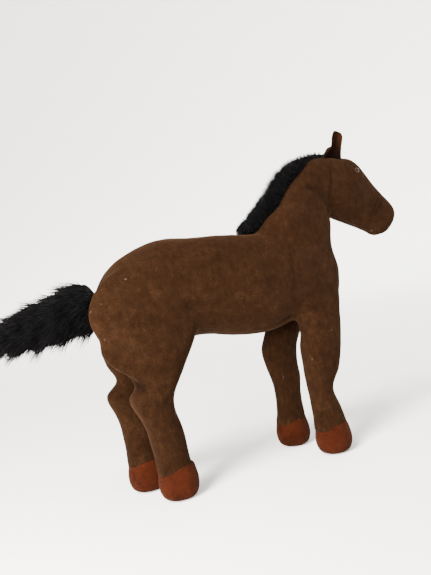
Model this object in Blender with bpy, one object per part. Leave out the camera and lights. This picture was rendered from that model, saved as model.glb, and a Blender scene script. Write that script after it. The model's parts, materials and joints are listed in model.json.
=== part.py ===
"""A standing stuffed toy horse: velvet panels over stuffing and a bent wire, with felt hooves.

The horse stands on Z = 0 and looks along +X, with its left side at +Y. Every size is in metres.
Each limb is lofted as one closed form. The form is then shrunk to find the inside of its skin and
the stuffing, and the skin is split along its seams into the panels that are sewn together.
Legs, neck, head and tail end in a round face about their hinge, so they turn without rubbing.
"""

import math

import bmesh
import bpy
from mathutils import Vector

# Cloth and clearances
GAP = 0.0003                      # between two pieces that touch
SKIN = 0.0015                     # velvet with its backing
EAR_LAYER = 0.0009                # each of an ear's two layers
WIRE_RADIUS = 0.0008              # armature wire
SWING_ROOM = 0.0010               # beyond a limb's path

# Trunk
BELLY_HEIGHT = 0.090              # floor to belly
TRUNK_DEPTH = 0.068               # belly to back
TRUNK_LENGTH = 0.181              # rump to chest
TRUNK_HALF_WIDTH = 0.027
TRUNK_REAR = -0.080               # before the finished horse is centred
GUSSET_HALF_WIDTH = 0.007         # strip along the belly
CROUP_STRIP = 0.0125              # trunk left above the hip joints

# Legs
LEG_SWING = 12                    # degrees forwards and back
HIP_DROP = 0.006                  # the hip disc reaches this far below the belly
HIP_WEB = 0.0080                  # half of the trunk between the hips
HIP_HALF_WIDTH = 0.0094
HIND_FOOT_SPREAD = 0.0155         # from the middle to a hind foot
LEFT_HIND_SET_BACK = 0.013        # the left hind foot stands behind the right one
LEFT_FORE_SET_BACK = 0.009
LEFT_ELBOW = 0.005                # the left elbow bulges backwards
ELBOW_SHARE = 0.86                # its height, as a share of the height of the hinge disc's foot
SHOULDER_WEB = 0.0072             # half of the trunk between the shoulders
SHOULDER_HALF_WIDTH = 0.0085
SHOULDER_DROP = 0.006             # the shoulder disc reaches this far below the belly
SHOULDER_TO_CHEST = 0.030
SOCKET_WALL = 0.0045              # trunk left between the shoulders and the neck
FORE_FOOT_SPREAD = 0.0205
HOOF_HEIGHT = 0.0190

# Neck and head
NECK_RADIUS = 0.0270
NECK_HALF_WIDTH = 0.0165
NECK_TO_CHEST = 0.0275
NECK_REACH = 0.0290               # neck hinge to head hinge, forwards
NECK_RISE = 0.0300                # neck hinge to head hinge, upwards
NECK_SWING = 12
HEAD_RADIUS = 0.0225
HEAD_HALF_WIDTH = 0.0145
HEAD_LENGTH = 0.0665              # head hinge to nose
HEAD_SLOPE = 37                   # degrees that the face points down
HEAD_SWING = 12
HEAD_GUSSET_HALF_WIDTH = 0.0055
MANE_HALF_WIDTH = 0.0042
MANE_HEIGHT = 0.0105
MANE_OVER_HEAD = (150, 135, 120, 105)   # degrees about the head hinge
MANE_FOOT = 0.0200                # length of the mane that lies on the trunk

# Eyes and ears
EYE_RADIUS = 0.0024
EYE_ALONG = 0.0146                # from the head hinge towards the nose
EYE_ABOVE = 0.0206                # above the line from the hinge to the nose
EYE_BULGE = 0.0016
SHANK_RADIUS = 0.0008
SHANK_LENGTH = 0.0060
WASHER_RADIUS = 0.0030
WASHER_THICKNESS = 0.0008
EAR_HEIGHT = 0.0190
EAR_HALF_WIDTH = 0.0046
EAR_ROOT_SHARE = 0.52             # width at the root, as a share of the widest
EAR_CUP = 0.0030                  # depth of the fold
EAR_SPREAD = 0.0060               # from the middle to an ear
EAR_AHEAD = 0.0120                # ear ahead of the head hinge
EAR_LIFT = 0.0012                 # ear root above the head

# Tail
TAIL_LENGTH = 0.082
TAIL_SLOPE = 16                   # degrees that the tail points down
TAIL_HEIGHT = 0.033               # root above the belly
TAIL_CORE_RADIUS = 0.0040
TAIL_FUR_RADIUS = 0.0135

TRUNK_SIDES = 16
LIMB_SIDES = 12
DISC_SIDES = 32
FAR = 0.3                         # past every edge of the horse
WELD = 0.000002                   # corners closer than this are one corner

# Joint places, worked out from the sizes above
trunk_top = BELLY_HEIGHT + TRUNK_DEPTH
chest_x = TRUNK_REAR + TRUNK_LENGTH
hip_low = BELLY_HEIGHT - HIP_DROP
hip_radius = (trunk_top - CROUP_STRIP - hip_low) / 2
hip = Vector((TRUNK_REAR + hip_radius, 0, hip_low + hip_radius))
neck = Vector((chest_x - NECK_TO_CHEST, 0, trunk_top))
shoulder_low = BELLY_HEIGHT - SHOULDER_DROP
shoulder_radius = (neck.z - NECK_RADIUS - SOCKET_WALL - shoulder_low) / 2
shoulder = Vector((chest_x - SHOULDER_TO_CHEST, 0, shoulder_low + shoulder_radius))
head = neck + Vector((NECK_REACH, 0, NECK_RISE))
tail = Vector((TRUNK_REAR - TAIL_CORE_RADIUS - 2 * GAP, 0, BELLY_HEIGHT + TAIL_HEIGHT))

# Outlines. Trunk: share of length, then low, high and width as shares of depth and half width
TRUNK_STATIONS = (
    (0.000, 0.17, 0.44, 0.34), (0.017, 0.10, 0.60, 0.60), (0.055, 0.06, 0.75, 0.80),
    (0.130, 0.03, 0.88, 0.93), (0.230, 0.01, 0.97, 1.00), (0.370, 0.02, 1.00, 1.00),
    (0.515, 0.01, 1.00, 1.00), (0.655, -0.02, 1.00, 0.97), (0.780, -0.01, 0.99, 0.90),
    (0.875, 0.03, 0.92, 0.78), (0.950, 0.10, 0.86, 0.58), (0.983, 0.22, 0.78, 0.36),
    (1.000, 0.35, 0.66, 0.20),
)
# Legs: share of the height of the hinge disc, then back and front from the hinge, and half width
HIND_STATIONS = (
    (0.000, -0.0045, 0.0075, 0.0055), (0.014, -0.0075, 0.0105, 0.0080),
    (0.055, -0.0102, 0.0127, 0.0102), (0.120, -0.0108, 0.0131, 0.0106),
    (0.195, -0.0101, 0.0113, 0.0097), (0.256, -0.0096, 0.0098, 0.0089),
    (0.583, -0.0115, 0.0068, 0.0090), (0.738, -0.0165, 0.0058, 0.0096),
    (0.820, -0.0180, 0.0075, 0.0100), (0.910, -0.0170, 0.0115, 0.0098),
    (1.000, -0.0225, 0.0175, 0.0096), (1.095, -0.0265, 0.0225, 0.0096),
)
FORE_STATIONS = (
    (0.000, -0.0125, -0.0010, 0.0055), (0.014, -0.0155, 0.0025, 0.0080),
    (0.055, -0.0185, 0.0050, 0.0102), (0.120, -0.0192, 0.0056, 0.0106),
    (0.195, -0.0180, 0.0046, 0.0097), (0.256, -0.0166, 0.0034, 0.0088),
    (0.530, -0.0165, 0.0005, 0.0086), (0.640, -0.0174, 0.0034, 0.0088),
    (0.760, -0.0184, 0.0070, 0.0090), (0.880, -0.0190, 0.0095, 0.0090),
    (1.040, -0.0180, 0.0140, 0.0085),
)
# Neck: share of the rise, then back and front as shares of the reach, and share of half width
NECK_STATIONS = (
    (0.20, -0.80, 0.92, 0.95), (0.47, -0.50, 0.95, 0.88), (0.72, -0.24, 1.00, 0.82),
    (0.97, 0.00, 1.05, 0.76), (1.22, 0.24, 1.10, 0.70), (1.45, 0.50, 1.10, 0.60),
)
# Head: share of the length, then low and high as shares of the radius, and share of half width
HEAD_STATIONS = (
    (0.10, -0.93, 1.20, 1.00), (0.27, -0.74, 1.35, 1.00), (0.42, -0.62, 1.27, 0.86),
    (0.60, -0.48, 1.10, 0.70), (0.78, -0.37, 0.96, 0.64), (0.92, -0.27, 0.85, 0.60),
    (0.98, -0.06, 0.70, 0.48), (1.00, 0.10, 0.50, 0.26),
)
# Tail fur: share of the length and share of the radius
TAIL_STATIONS = ((0.05, 0.62), (0.14, 0.90), (0.40, 1.00), (0.65, 0.90), (0.86, 0.62), (1.00, 0.22))
# Disc levels as shares of its radius, from the first ring above a limb's own stations
DISC_LEVELS = (-0.45, 0.0, 0.50, 0.84, 0.98)

VELVET = ((0.082, 0.030, 0.012), 0.95, 0.0)
VELVET_INNER = ((0.060, 0.022, 0.010), 0.95, 0.0)
FELT_RUST = ((0.190, 0.040, 0.012), 0.92, 0.0)
STUFFING = ((0.80, 0.77, 0.68), 1.0, 0.0)
WIRE = ((0.45, 0.45, 0.46), 0.38, 1.0)
BLACK_FUR = ((0.008, 0.008, 0.009), 0.85, 0.0)
AMBER_GLASS = ((0.22, 0.07, 0.012), 0.06, 0.0)
WHITE_NYLON = ((0.70, 0.70, 0.68), 0.5, 0.0)


def clear_scene():
    """Remove whatever the file opened with."""
    for old in list(bpy.data.objects):
        bpy.data.objects.remove(old, do_unlink=True)


def finish_with(body, finish):
    """Give a piece its own material."""
    colour, roughness, metallic = finish
    material = bpy.data.materials.new(body.name)
    material.use_nodes = True
    shader = material.node_tree.nodes["Principled BSDF"]
    shader.inputs["Base Color"].default_value = (*colour, 1.0)
    shader.inputs["Roughness"].default_value = roughness
    shader.inputs["Metallic"].default_value = metallic
    body.data.materials.clear()
    body.data.materials.append(material)


def make_object(name, bm):
    """Turn a bmesh into an object with its faces pointing out."""
    bmesh.ops.recalc_face_normals(bm, faces=bm.faces)
    mesh = bpy.data.meshes.new(name)
    bm.to_mesh(mesh)
    bm.free()
    body = bpy.data.objects.new(name, mesh)
    bpy.context.scene.collection.objects.link(body)
    return body


def oval(centre, across, upward, half_across, half_up, power=2.4, sides=LIMB_SIDES):
    """Points of a superellipse about a centre, counted from the across direction."""
    points = []
    for step in range(sides):
        turn = math.tau * (step + 0.5) / sides
        c, s = math.cos(turn), math.sin(turn)
        a = math.copysign(abs(c) ** (2 / power), c) * half_across
        b = math.copysign(abs(s) ** (2 / power), s) * half_up
        points.append(centre + across * a + upward * b)
    return points


def loft(name, rings):
    """Skin a closed body over rings of equal length, with a flat cap on each end."""
    bm = bmesh.new()
    rows = [[bm.verts.new(point) for point in points] for points in rings]
    count = len(rows[0])
    for low, high in zip(rows, rows[1:]):
        for i in range(count):
            j = (i + 1) % count
            bm.faces.new((low[i], low[j], high[j], high[i]))
    for row in (rows[0], rows[-1]):
        bm.faces.new(row)
    return make_object(name, bm)


def prism(name, outline, y_low, y_high):
    """Extrude an (x, z) outline along Y."""
    bm = bmesh.new()
    rows = [[bm.verts.new((x, y, z)) for x, z in outline] for y in (y_low, y_high)]
    for i in range(len(outline)):
        j = (i + 1) % len(outline)
        bm.faces.new((rows[0][i], rows[0][j], rows[1][j], rows[1][i]))
    bm.faces.new(rows[0])
    bm.faces.new(rows[1])
    return make_object(name, bm)


def block(name, low, high):
    """Box between two corners."""
    outline = ((low[0], low[2]), (high[0], low[2]), (high[0], high[2]), (low[0], high[2]))
    return prism(name, outline, low[1], high[1])


def disc(name, centre, radius, y_low, y_high, sides=DISC_SIDES):
    """Round plate about an axis along Y."""
    turns = [math.tau * step / sides for step in range(sides)]
    outline = [(centre.x + radius * math.cos(t), centre.z + radius * math.sin(t)) for t in turns]
    return prism(name, outline, y_low, y_high)


def tube(name, points, radius, sides=8):
    """Round bar along a path, with its ends closed and no twist between its rings."""
    rings = []
    across = Vector((0, 1, 0))
    for i, point in enumerate(points):
        ahead = (points[min(i + 1, len(points) - 1)] - points[max(i - 1, 0)]).normalized()
        if abs(ahead.dot(across)) > 0.99:
            across = Vector((1, 0, 0))
        across = (across - ahead * ahead.dot(across)).normalized()
        rings.append(oval(point, across, ahead.cross(across), radius, radius, power=2, sides=sides))
    return loft(name, rings)


def lathe(name, centre, axis, profile, sides=10):
    """Turn (distance along the axis, radius) pairs about an axis through the centre."""
    turn = axis.to_track_quat("Z", "Y")
    rings = [
        oval(centre + axis * along, turn @ Vector((1, 0, 0)), turn @ Vector((0, 1, 0)),
             radius, radius, power=2, sides=sides)
        for along, radius in profile
    ]
    return loft(name, rings)


def shrunk(body, name, depth):
    """Copy of a closed body with its surface moved inwards by a depth."""
    bm = bmesh.new()
    bm.from_mesh(body.data)
    moves = [vertex.normal * (vertex.calc_shell_factor() * depth) for vertex in bm.verts]
    for vertex, move in zip(bm.verts, moves):
        vertex.co -= move
    bmesh.ops.triangulate(bm, faces=bm.faces)
    return make_object(name, bm)


def duplicate(body, name):
    """Copy of a body with its own mesh."""
    copy = bpy.data.objects.new(name, body.data.copy())
    bpy.context.scene.collection.objects.link(copy)
    return copy


def weld(mesh):
    """Merge the corners that a cut leaves almost on each other, where the body stays closed."""
    bm = bmesh.new()
    bm.from_mesh(mesh)
    bmesh.ops.remove_doubles(bm, verts=bm.verts, dist=WELD)
    bmesh.ops.dissolve_degenerate(bm, edges=bm.edges, dist=WELD)
    if all(edge.is_manifold for edge in bm.edges):
        bm.to_mesh(mesh)
    bm.free()


def carve(body, operation, tools):
    """Combine a body with each tool in turn and keep the result as its mesh."""
    for tool in tools:
        step = body.modifiers.new(operation.title(), "BOOLEAN")
        step.operation = operation
        step.solver = "EXACT"
        step.object = tool
    bpy.context.view_layer.update()
    solved = body.evaluated_get(bpy.context.evaluated_depsgraph_get())
    mesh = bpy.data.meshes.new_from_object(solved)
    body.modifiers.clear()
    weld(mesh)
    body.data = mesh
    return body


def discard(bodies):
    """Remove the guides and cutters that shaped the pieces."""
    for body in bodies:
        bpy.data.objects.remove(body, do_unlink=True)


def complete(body, finish, pivot):
    """Shade a piece, colour it and move its origin onto the axis that it turns about."""
    body.data.transform(body.matrix_world)
    body.data.shade_smooth()
    body.data.set_sharp_from_angle(angle=math.radians(40))
    for vertex in body.data.vertices:
        vertex.co -= pivot
    body.location = pivot
    finish_with(body, finish)


def turned(point, centre, degrees):
    """(x, z) of a point turned about an axis along Y. Positive lifts the front."""
    angle = math.radians(degrees)
    dx, dz = point[0] - centre.x, point[1] - centre.z
    return (
        centre.x + dx * math.cos(angle) - dz * math.sin(angle),
        centre.z + dx * math.sin(angle) + dz * math.cos(angle),
    )


def swing_path(name, centre, back, front, swing, y_low, y_high):
    """Prism over everything that a limb's outline passes as it swings both ways.

    back and front are (x, z) points of the limb's two edges, from the tip to the hinge.
    """
    outline = [turned((x + SWING_ROOM, z), centre, swing) for x, z in front]
    outline += [(centre.x, centre.z)]
    outline += [turned((x - SWING_ROOM, z), centre, -swing) for x, z in reversed(back)]
    return prism(name, outline, y_low, y_high)


def dome(level):
    """Share of a disc's half width at a level, so that its rim is rounded."""
    return 0.55 + 0.45 * math.sqrt(max(0.0, 1 - level * level))


def split_sides(shell, name, seam_y):
    """Split a skin along an upright seam into its right and left panels."""
    right_half = block("right_half", (-FAR, -FAR, -FAR), (FAR, seam_y - GAP / 2, FAR))
    left_half = block("left_half", (-FAR, seam_y + GAP / 2, -FAR), (FAR, FAR, FAR))
    right = carve(duplicate(shell, name + "_right"), "INTERSECT", [right_half])
    left = carve(duplicate(shell, name + "_left"), "INTERSECT", [left_half])
    discard([right_half, left_half])
    return right, left


class Leg:
    """One leg: two velvet panels, a felt hoof, its stuffing and its wire."""

    def __init__(self, name, side, hinge, radius, stations, web, half_width, spread,
                 set_back=0.0, elbow=0.0):
        self.name = name
        self.side = side
        self.hinge = hinge
        self.radius = radius
        self.stations = stations
        self.web = web
        self.half_width = half_width
        self.spread = spread
        self.set_back = set_back
        self.elbow = elbow
        self.drop = hinge.z - radius
        self.top_y = web + GAP + half_width

    def edges(self):
        """Height, back x, front x, middle y and half width of each level below the disc."""
        levels = []
        for share, back, front, half in self.stations:
            z = share * self.drop
            lean = self.set_back * (1 - min(1.0, z / self.hinge.z))
            y = self.spread + (self.top_y - self.spread) * min(1.0, share)
            half = min(half, self.half_width) if share > 0.9 else half
            bulge = self.elbow * math.exp(-((share - ELBOW_SHARE) / 0.13) ** 2)
            back_x = self.hinge.x + back - lean - bulge
            levels.append((z, back_x, self.hinge.x + front - lean, y, half))
        return levels

    def disc_edges(self):
        """The same for the levels of the disc."""
        levels = []
        for level in DISC_LEVELS:
            reach = self.radius * math.sqrt(1 - level * level)
            z = self.hinge.z + level * self.radius
            half = self.half_width * dome(level)
            levels.append((z, self.hinge.x - reach, self.hinge.x + reach, self.top_y, half))
        return levels

    def form(self):
        """The whole leg as one closed body, from the sole to the top of its disc."""
        rings = [
            oval(Vector(((back + front) / 2, self.side * y, z)), Vector((1, 0, 0)),
                 Vector((0, 1, 0)), (front - back) / 2, half)
            for z, back, front, y, half in self.edges() + self.disc_edges()
        ]
        return loft(self.name + "_form", rings)

    def wire_path(self):
        """From the hinge axis in the trunk, out to the disc, and down the middle of the leg."""
        levels = [level for level in self.edges()[4:] if level[0] < self.drop * 0.9]
        path = [Vector(((back + front) / 2, self.side * y, z)) for z, back, front, y, half in levels]
        on_axis = [
            Vector((self.hinge.x, self.side * y, self.hinge.z))
            for y in (self.web + 3 * SKIN, self.web + GAP, self.web / 3)
        ]
        elbow = on_axis[0] + Vector((0, self.side * 0.45, -0.3)) * self.half_width
        return path + [elbow] + on_axis

    def pocket(self):
        """Cutters that free the trunk from the disc and from the swinging leg."""
        inner, outer = sorted((self.side * self.web, self.side * FAR))
        low = [level for level in self.edges() + self.disc_edges()
               if self.drop * 0.7 < level[0] <= self.hinge.z]
        back = [(level[1], level[0]) for level in low]
        front = [(level[2], level[0]) for level in low]
        return [
            disc("pocket", self.hinge, self.radius + GAP, inner, outer),
            swing_path("path", self.hinge, back, front, LEG_SWING, inner, outer),
        ]

    def build(self):
        """Make the leg's five pieces."""
        form = self.form()
        lining = shrunk(form, "lining", SKIN)
        stuffing = shrunk(form, self.name + "_stuffing", SKIN + GAP)
        path = self.wire_path()
        channel = tube("channel", path, WIRE_RADIUS + GAP)
        path[-1] = path[-1] + Vector((0, self.side * GAP, 0))
        wire = tube(self.name + "_wire", [path[0] + Vector((0, 0, GAP))] + path[1:], WIRE_RADIUS)
        carve(stuffing, "DIFFERENCE", [channel])
        skin = carve(duplicate(form, "skin"), "DIFFERENCE", [lining])
        below = block("below", (-FAR, -FAR, -FAR), (FAR, FAR, HOOF_HEIGHT - GAP / 2))
        above = block("above", (-FAR, -FAR, HOOF_HEIGHT + GAP / 2), (FAR, FAR, FAR))
        hoof = carve(duplicate(skin, self.name + "_hoof"), "INTERSECT", [below])
        carve(skin, "INTERSECT", [above])
        outer, inner = split_sides(skin, self.name + "_skin", self.side * self.top_y)
        if self.side > 0:
            outer, inner = inner, outer
        carve(inner, "DIFFERENCE", [channel])
        outer.name = self.name + "_skin_outer"
        inner.name = self.name + "_skin_inner"
        discard([form, lining, channel, skin, below, above])
        complete(outer, VELVET, self.hinge)
        complete(inner, VELVET_INNER, self.hinge)
        complete(hoof, FELT_RUST, self.hinge)
        complete(stuffing, STUFFING, self.hinge)
        complete(wire, WIRE, self.hinge)


def make_legs():
    """The four legs, with the left feet set back."""
    legs = []
    for side, word in ((-1, "right"), (1, "left")):
        left = 1 if side > 0 else 0
        legs.append(Leg("hind_leg_" + word, side, hip, hip_radius, HIND_STATIONS, HIP_WEB,
                        HIP_HALF_WIDTH, HIND_FOOT_SPREAD, left * LEFT_HIND_SET_BACK))
        legs.append(Leg("fore_leg_" + word, side, shoulder, shoulder_radius, FORE_STATIONS,
                        SHOULDER_WEB, SHOULDER_HALF_WIDTH, FORE_FOOT_SPREAD,
                        left * LEFT_FORE_SET_BACK, left * LEFT_ELBOW))
    return legs


def neck_levels():
    """Height, back x, front x and half width of the neck, from its disc to the poll."""
    levels = []
    for level in (-0.98, -0.84, -0.50, 0.0):
        reach = NECK_RADIUS * math.sqrt(1 - level * level)
        z = neck.z + level * NECK_RADIUS
        levels.append((z, neck.x - reach, neck.x + reach, NECK_HALF_WIDTH * dome(level)))
    for rise, back, front, width in NECK_STATIONS:
        levels.append((neck.z + rise * NECK_RISE, neck.x + back * NECK_REACH,
                       neck.x + front * NECK_REACH, width * NECK_HALF_WIDTH))
    return levels


def make_trunk(legs):
    """Two side panels, the belly strip, the stuffing and the spine wire."""
    rings = []
    for share, low, high, width in TRUNK_STATIONS:
        centre = Vector((TRUNK_REAR + share * TRUNK_LENGTH, 0,
                         BELLY_HEIGHT + (low + high) / 2 * TRUNK_DEPTH))
        rings.append(oval(centre, Vector((0, 1, 0)), Vector((0, 0, 1)),
                          width * TRUNK_HALF_WIDTH, (high - low) / 2 * TRUNK_DEPTH,
                          sides=TRUNK_SIDES))
    form = loft("trunk_form", rings)
    lining = shrunk(form, "lining", SKIN)
    stuffing = shrunk(form, "trunk_stuffing", SKIN + GAP)

    cutters = [cutter for leg in legs for cutter in leg.pocket()]
    levels = [level for level in neck_levels() if level[0] >= neck.z]
    back = [(level[1], level[0]) for level in reversed(levels)]
    front = [(level[2], level[0]) for level in reversed(levels)]
    cutters.append(disc("socket", neck, NECK_RADIUS + GAP, -FAR, FAR))
    cutters.append(swing_path("path", neck, back, front, NECK_SWING, -FAR, FAR))

    spine_z = neck.z - NECK_RADIUS - SOCKET_WALL
    spine = [
        Vector((hip.x + 4 * WIRE_RADIUS + SKIN, 0, hip.z)),
        Vector((hip.x + hip_radius, 0, (hip.z + spine_z) / 2)),
        Vector((neck.x - 2 * NECK_RADIUS, 0, spine_z)),
        Vector((neck.x - NECK_RADIUS, 0, spine_z + SOCKET_WALL)),
        Vector((neck.x, 0, neck.z)),
    ]
    channel = tube("channel", spine, WIRE_RADIUS + GAP)
    wire = tube("spine_wire", [spine[0] + Vector((GAP, 0, 0))] + spine[1:], WIRE_RADIUS)
    stubs = [disc("stub", hinge, WIRE_RADIUS + GAP, -FAR, FAR, sides=8) for hinge in (hip, shoulder)]
    socket = disc("socket", neck, NECK_RADIUS + 2 * GAP, -FAR, FAR)
    carve(wire, "DIFFERENCE", [socket])
    carve(stuffing, "DIFFERENCE", cutters + [channel] + stubs)

    skin = carve(duplicate(form, "skin"), "DIFFERENCE", [lining])
    middle = BELLY_HEIGHT + TRUNK_DEPTH / 2
    strip = block("strip", (-FAR, -GUSSET_HALF_WIDTH, -FAR), (FAR, GUSSET_HALF_WIDTH, middle))
    around = block("around", (-FAR, -GUSSET_HALF_WIDTH - GAP, -FAR),
                   (FAR, GUSSET_HALF_WIDTH + GAP, middle + GAP))
    gusset = carve(duplicate(skin, "belly_gusset"), "INTERSECT", [strip])
    carve(skin, "DIFFERENCE", [around])
    right, left = split_sides(skin, "trunk_side", 0.0)
    for panel in (right, left, gusset):
        carve(panel, "DIFFERENCE", cutters)
    discard([form, lining, channel, socket, skin, strip, around] + cutters + stubs)
    floor_point = Vector((0, 0, 0))
    complete(right, VELVET, floor_point)
    complete(left, VELVET, floor_point)
    complete(gusset, VELVET_INNER, floor_point)
    complete(stuffing, STUFFING, floor_point)
    complete(wire, WIRE, floor_point)
    complete(make_mane_foot(), BLACK_FUR, floor_point)


def head_frame():
    """Directions along the face and square to it, in the middle plane."""
    slope = math.radians(HEAD_SLOPE)
    return (Vector((math.cos(slope), 0, -math.sin(slope))),
            Vector((math.sin(slope), 0, math.cos(slope))))


def head_point(along, above, y=0.0):
    """A place on the head, measured from its hinge."""
    forward, upward = head_frame()
    return head + forward * along + upward * above + Vector((0, y, 0))


def head_levels():
    """Distance from the hinge, low, high and half width of the head, from its disc to the nose."""
    levels = []
    for level in (-0.98, -0.84, -0.50, 0.0):
        reach = HEAD_RADIUS * math.sqrt(1 - level * level)
        levels.append((level * HEAD_RADIUS, -reach, reach, HEAD_HALF_WIDTH * dome(level)))
    for share, low, high, width in HEAD_STATIONS:
        levels.append((share * HEAD_LENGTH, low * HEAD_RADIUS, high * HEAD_RADIUS,
                       width * HEAD_HALF_WIDTH))
    return levels


def make_neck():
    """Two side panels, the stuffing, the wire and the mane."""
    rings = [
        oval(Vector(((back + front) / 2, 0, z)), Vector((1, 0, 0)), Vector((0, 1, 0)),
             (front - back) / 2, half)
        for z, back, front, half in neck_levels()
    ]
    form = loft("neck_form", rings)
    lining = shrunk(form, "lining", SKIN)
    stuffing = shrunk(form, "neck_stuffing", SKIN + GAP)
    chin_side = [head_point(along, low) for along, low, high, half in reversed(head_levels()[3:])]
    crown_side = [head_point(along, high) for along, low, high, half in reversed(head_levels()[3:])]
    cutters = [
        disc("socket", head, HEAD_RADIUS + GAP, -FAR, FAR),
        swing_path("path", head, [(p.x, p.z) for p in chin_side],
                   [(p.x, p.z) for p in crown_side], HEAD_SWING, -FAR, FAR),
    ]
    path = [neck, neck + Vector((NECK_REACH, 0, NECK_RISE)) * 0.5, head]
    channel = tube("channel", path, WIRE_RADIUS + GAP)
    wire = tube("neck_wire", [path[0] + Vector((GAP, 0, GAP))] + path[1:], WIRE_RADIUS)
    socket = disc("socket", head, HEAD_RADIUS + 2 * GAP, -FAR, FAR)
    carve(wire, "DIFFERENCE", [socket])
    carve(stuffing, "DIFFERENCE", cutters + [channel])
    skin = carve(duplicate(form, "skin"), "DIFFERENCE", [lining] + cutters)
    right, left = split_sides(skin, "neck_side", 0.0)
    mane = make_mane()
    discard([form, lining, channel, socket, skin] + cutters)
    complete(right, VELVET, neck)
    complete(left, VELVET, neck)
    complete(stuffing, STUFFING, neck)
    complete(wire, WIRE, neck)
    complete(mane, BLACK_FUR, neck)


def fur_strip(name, crest, heights):
    """Fur that stands on a line of points, as high as given at each of them."""
    rings = []
    for i, (point, height) in enumerate(zip(crest, heights)):
        ahead = (crest[min(i + 1, len(crest) - 1)] - crest[max(i - 1, 0)]).normalized()
        outward = Vector((-ahead.z, 0, ahead.x))
        middle = point + outward * (SKIN + GAP + height / 2)
        rings.append(oval(middle, Vector((0, 1, 0)), outward, MANE_HALF_WIDTH, height / 2))
    return loft(name, rings)


def make_mane_foot():
    """Lower end of the mane, on the trunk behind the turning neck and its fur."""
    front = neck.x - NECK_RADIUS - 0.75 * MANE_HEIGHT
    shares = (0.0, 0.15, 0.5, 1.0)
    crest = [Vector((front - MANE_FOOT * (1 - share), 0, trunk_top - SKIN)) for share in shares]
    return fur_strip("mane_foot", crest, [MANE_HEIGHT * (0.30 + 0.36 * s ** 0.5) for s in shares])


def make_mane():
    """Fur strip that stands on the crest and runs on over the head's disc to the ears."""
    crest = [Vector((back, 0, z)) for z, back, front, half in neck_levels()[3:-1]]
    crest = [point for point in crest if (point - head).length > HEAD_RADIUS + SKIN
             and turned((point.x, point.z), neck, NECK_SWING)[1] > trunk_top]
    for degrees in MANE_OVER_HEAD:
        angle = math.radians(degrees)
        crest.append(head + Vector((math.cos(angle), 0, math.sin(angle))) * HEAD_RADIUS)
    shares = [i / (len(crest) - 1) for i in range(len(crest))]
    heights = [MANE_HEIGHT * min(1.0, 0.66 + 4 * s, 0.30 + 1.8 * (1 - s)) for s in shares]
    return fur_strip("mane", crest, heights)


def make_head():
    """Two cheek panels, the strip over the face, the stuffing and the eyes."""
    forward, upward = head_frame()
    rings = []
    for along, low, high, half in head_levels():
        rings.append(oval(head_point(along, (low + high) / 2), Vector((0, 1, 0)), upward,
                          half, (high - low) / 2))
    form = loft("head_form", rings)
    lining = shrunk(form, "lining", SKIN)
    stuffing = shrunk(form, "head_stuffing", SKIN + GAP)
    skin = carve(duplicate(form, "skin"), "DIFFERENCE", [lining])
    eyes = []
    cutters = []
    for side, word in ((-1, "right"), (1, "left")):
        sideways = Vector((0, side, 0))
        cheek = head_point(EYE_ALONG, EYE_ABOVE)
        hit, place, lean, face = form.ray_cast(cheek + sideways * FAR, -sideways)
        seat = place - lean * (SKIN + GAP)
        eye = lathe("eye_" + word, place, lean, (
            (-SHANK_LENGTH, SHANK_RADIUS), (GAP, SHANK_RADIUS), (GAP, EYE_RADIUS),
            (GAP + EYE_BULGE * 0.45, EYE_RADIUS * 0.93), (GAP + EYE_BULGE * 0.85, EYE_RADIUS * 0.6),
            (GAP + EYE_BULGE, EYE_RADIUS * 0.2)))
        hole = lathe("hole", place, lean, ((-SHANK_LENGTH - GAP, SHANK_RADIUS + GAP),
                                           (SHANK_LENGTH, SHANK_RADIUS + GAP)))
        recess = lathe("recess", seat, lean, ((-WASHER_THICKNESS - GAP, WASHER_RADIUS + GAP),
                                              (SHANK_LENGTH, WASHER_RADIUS + GAP)))
        washer = lathe("eye_washer_" + word, seat, lean, ((-WASHER_THICKNESS, WASHER_RADIUS),
                                                          (-GAP, WASHER_RADIUS)))
        carve(washer, "DIFFERENCE", [hole])
        carve(stuffing, "DIFFERENCE", [hole, recess])
        carve(skin, "DIFFERENCE", [hole])
        cutters += [hole, recess]
        eyes.append((eye, washer))
    strip = block("strip", (-FAR, -HEAD_GUSSET_HALF_WIDTH, 0), (FAR, HEAD_GUSSET_HALF_WIDTH, FAR))
    around = block("around", (-FAR, -HEAD_GUSSET_HALF_WIDTH - GAP, -GAP),
                   (FAR, HEAD_GUSSET_HALF_WIDTH + GAP, FAR))
    for guide in (strip, around):
        guide.rotation_euler = (0, math.radians(HEAD_SLOPE), 0)
        guide.location = head_point(0, (HEAD_STATIONS[-1][1] + HEAD_STATIONS[-1][2]) / 2 * HEAD_RADIUS)
    gusset = carve(duplicate(skin, "head_gusset"), "INTERSECT", [strip])
    carve(skin, "DIFFERENCE", [around])
    right, left = split_sides(skin, "head_side", 0.0)
    inner_edge = Vector((head.x + EAR_AHEAD, EAR_SPREAD - EAR_ROOT_SHARE * EAR_HALF_WIDTH, FAR))
    hit, crown, normal, face = form.ray_cast(inner_edge, Vector((0, 0, -1)))
    discard([form, lining, skin, strip, around] + cutters)
    complete(right, VELVET, head)
    complete(left, VELVET, head)
    complete(gusset, VELVET, head)
    complete(stuffing, STUFFING, head)
    for eye, washer in eyes:
        complete(eye, AMBER_GLASS, head)
        complete(washer, WHITE_NYLON, head)
    make_ears(Vector((crown.x, EAR_SPREAD, crown.z + EAR_LIFT)))


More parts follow.
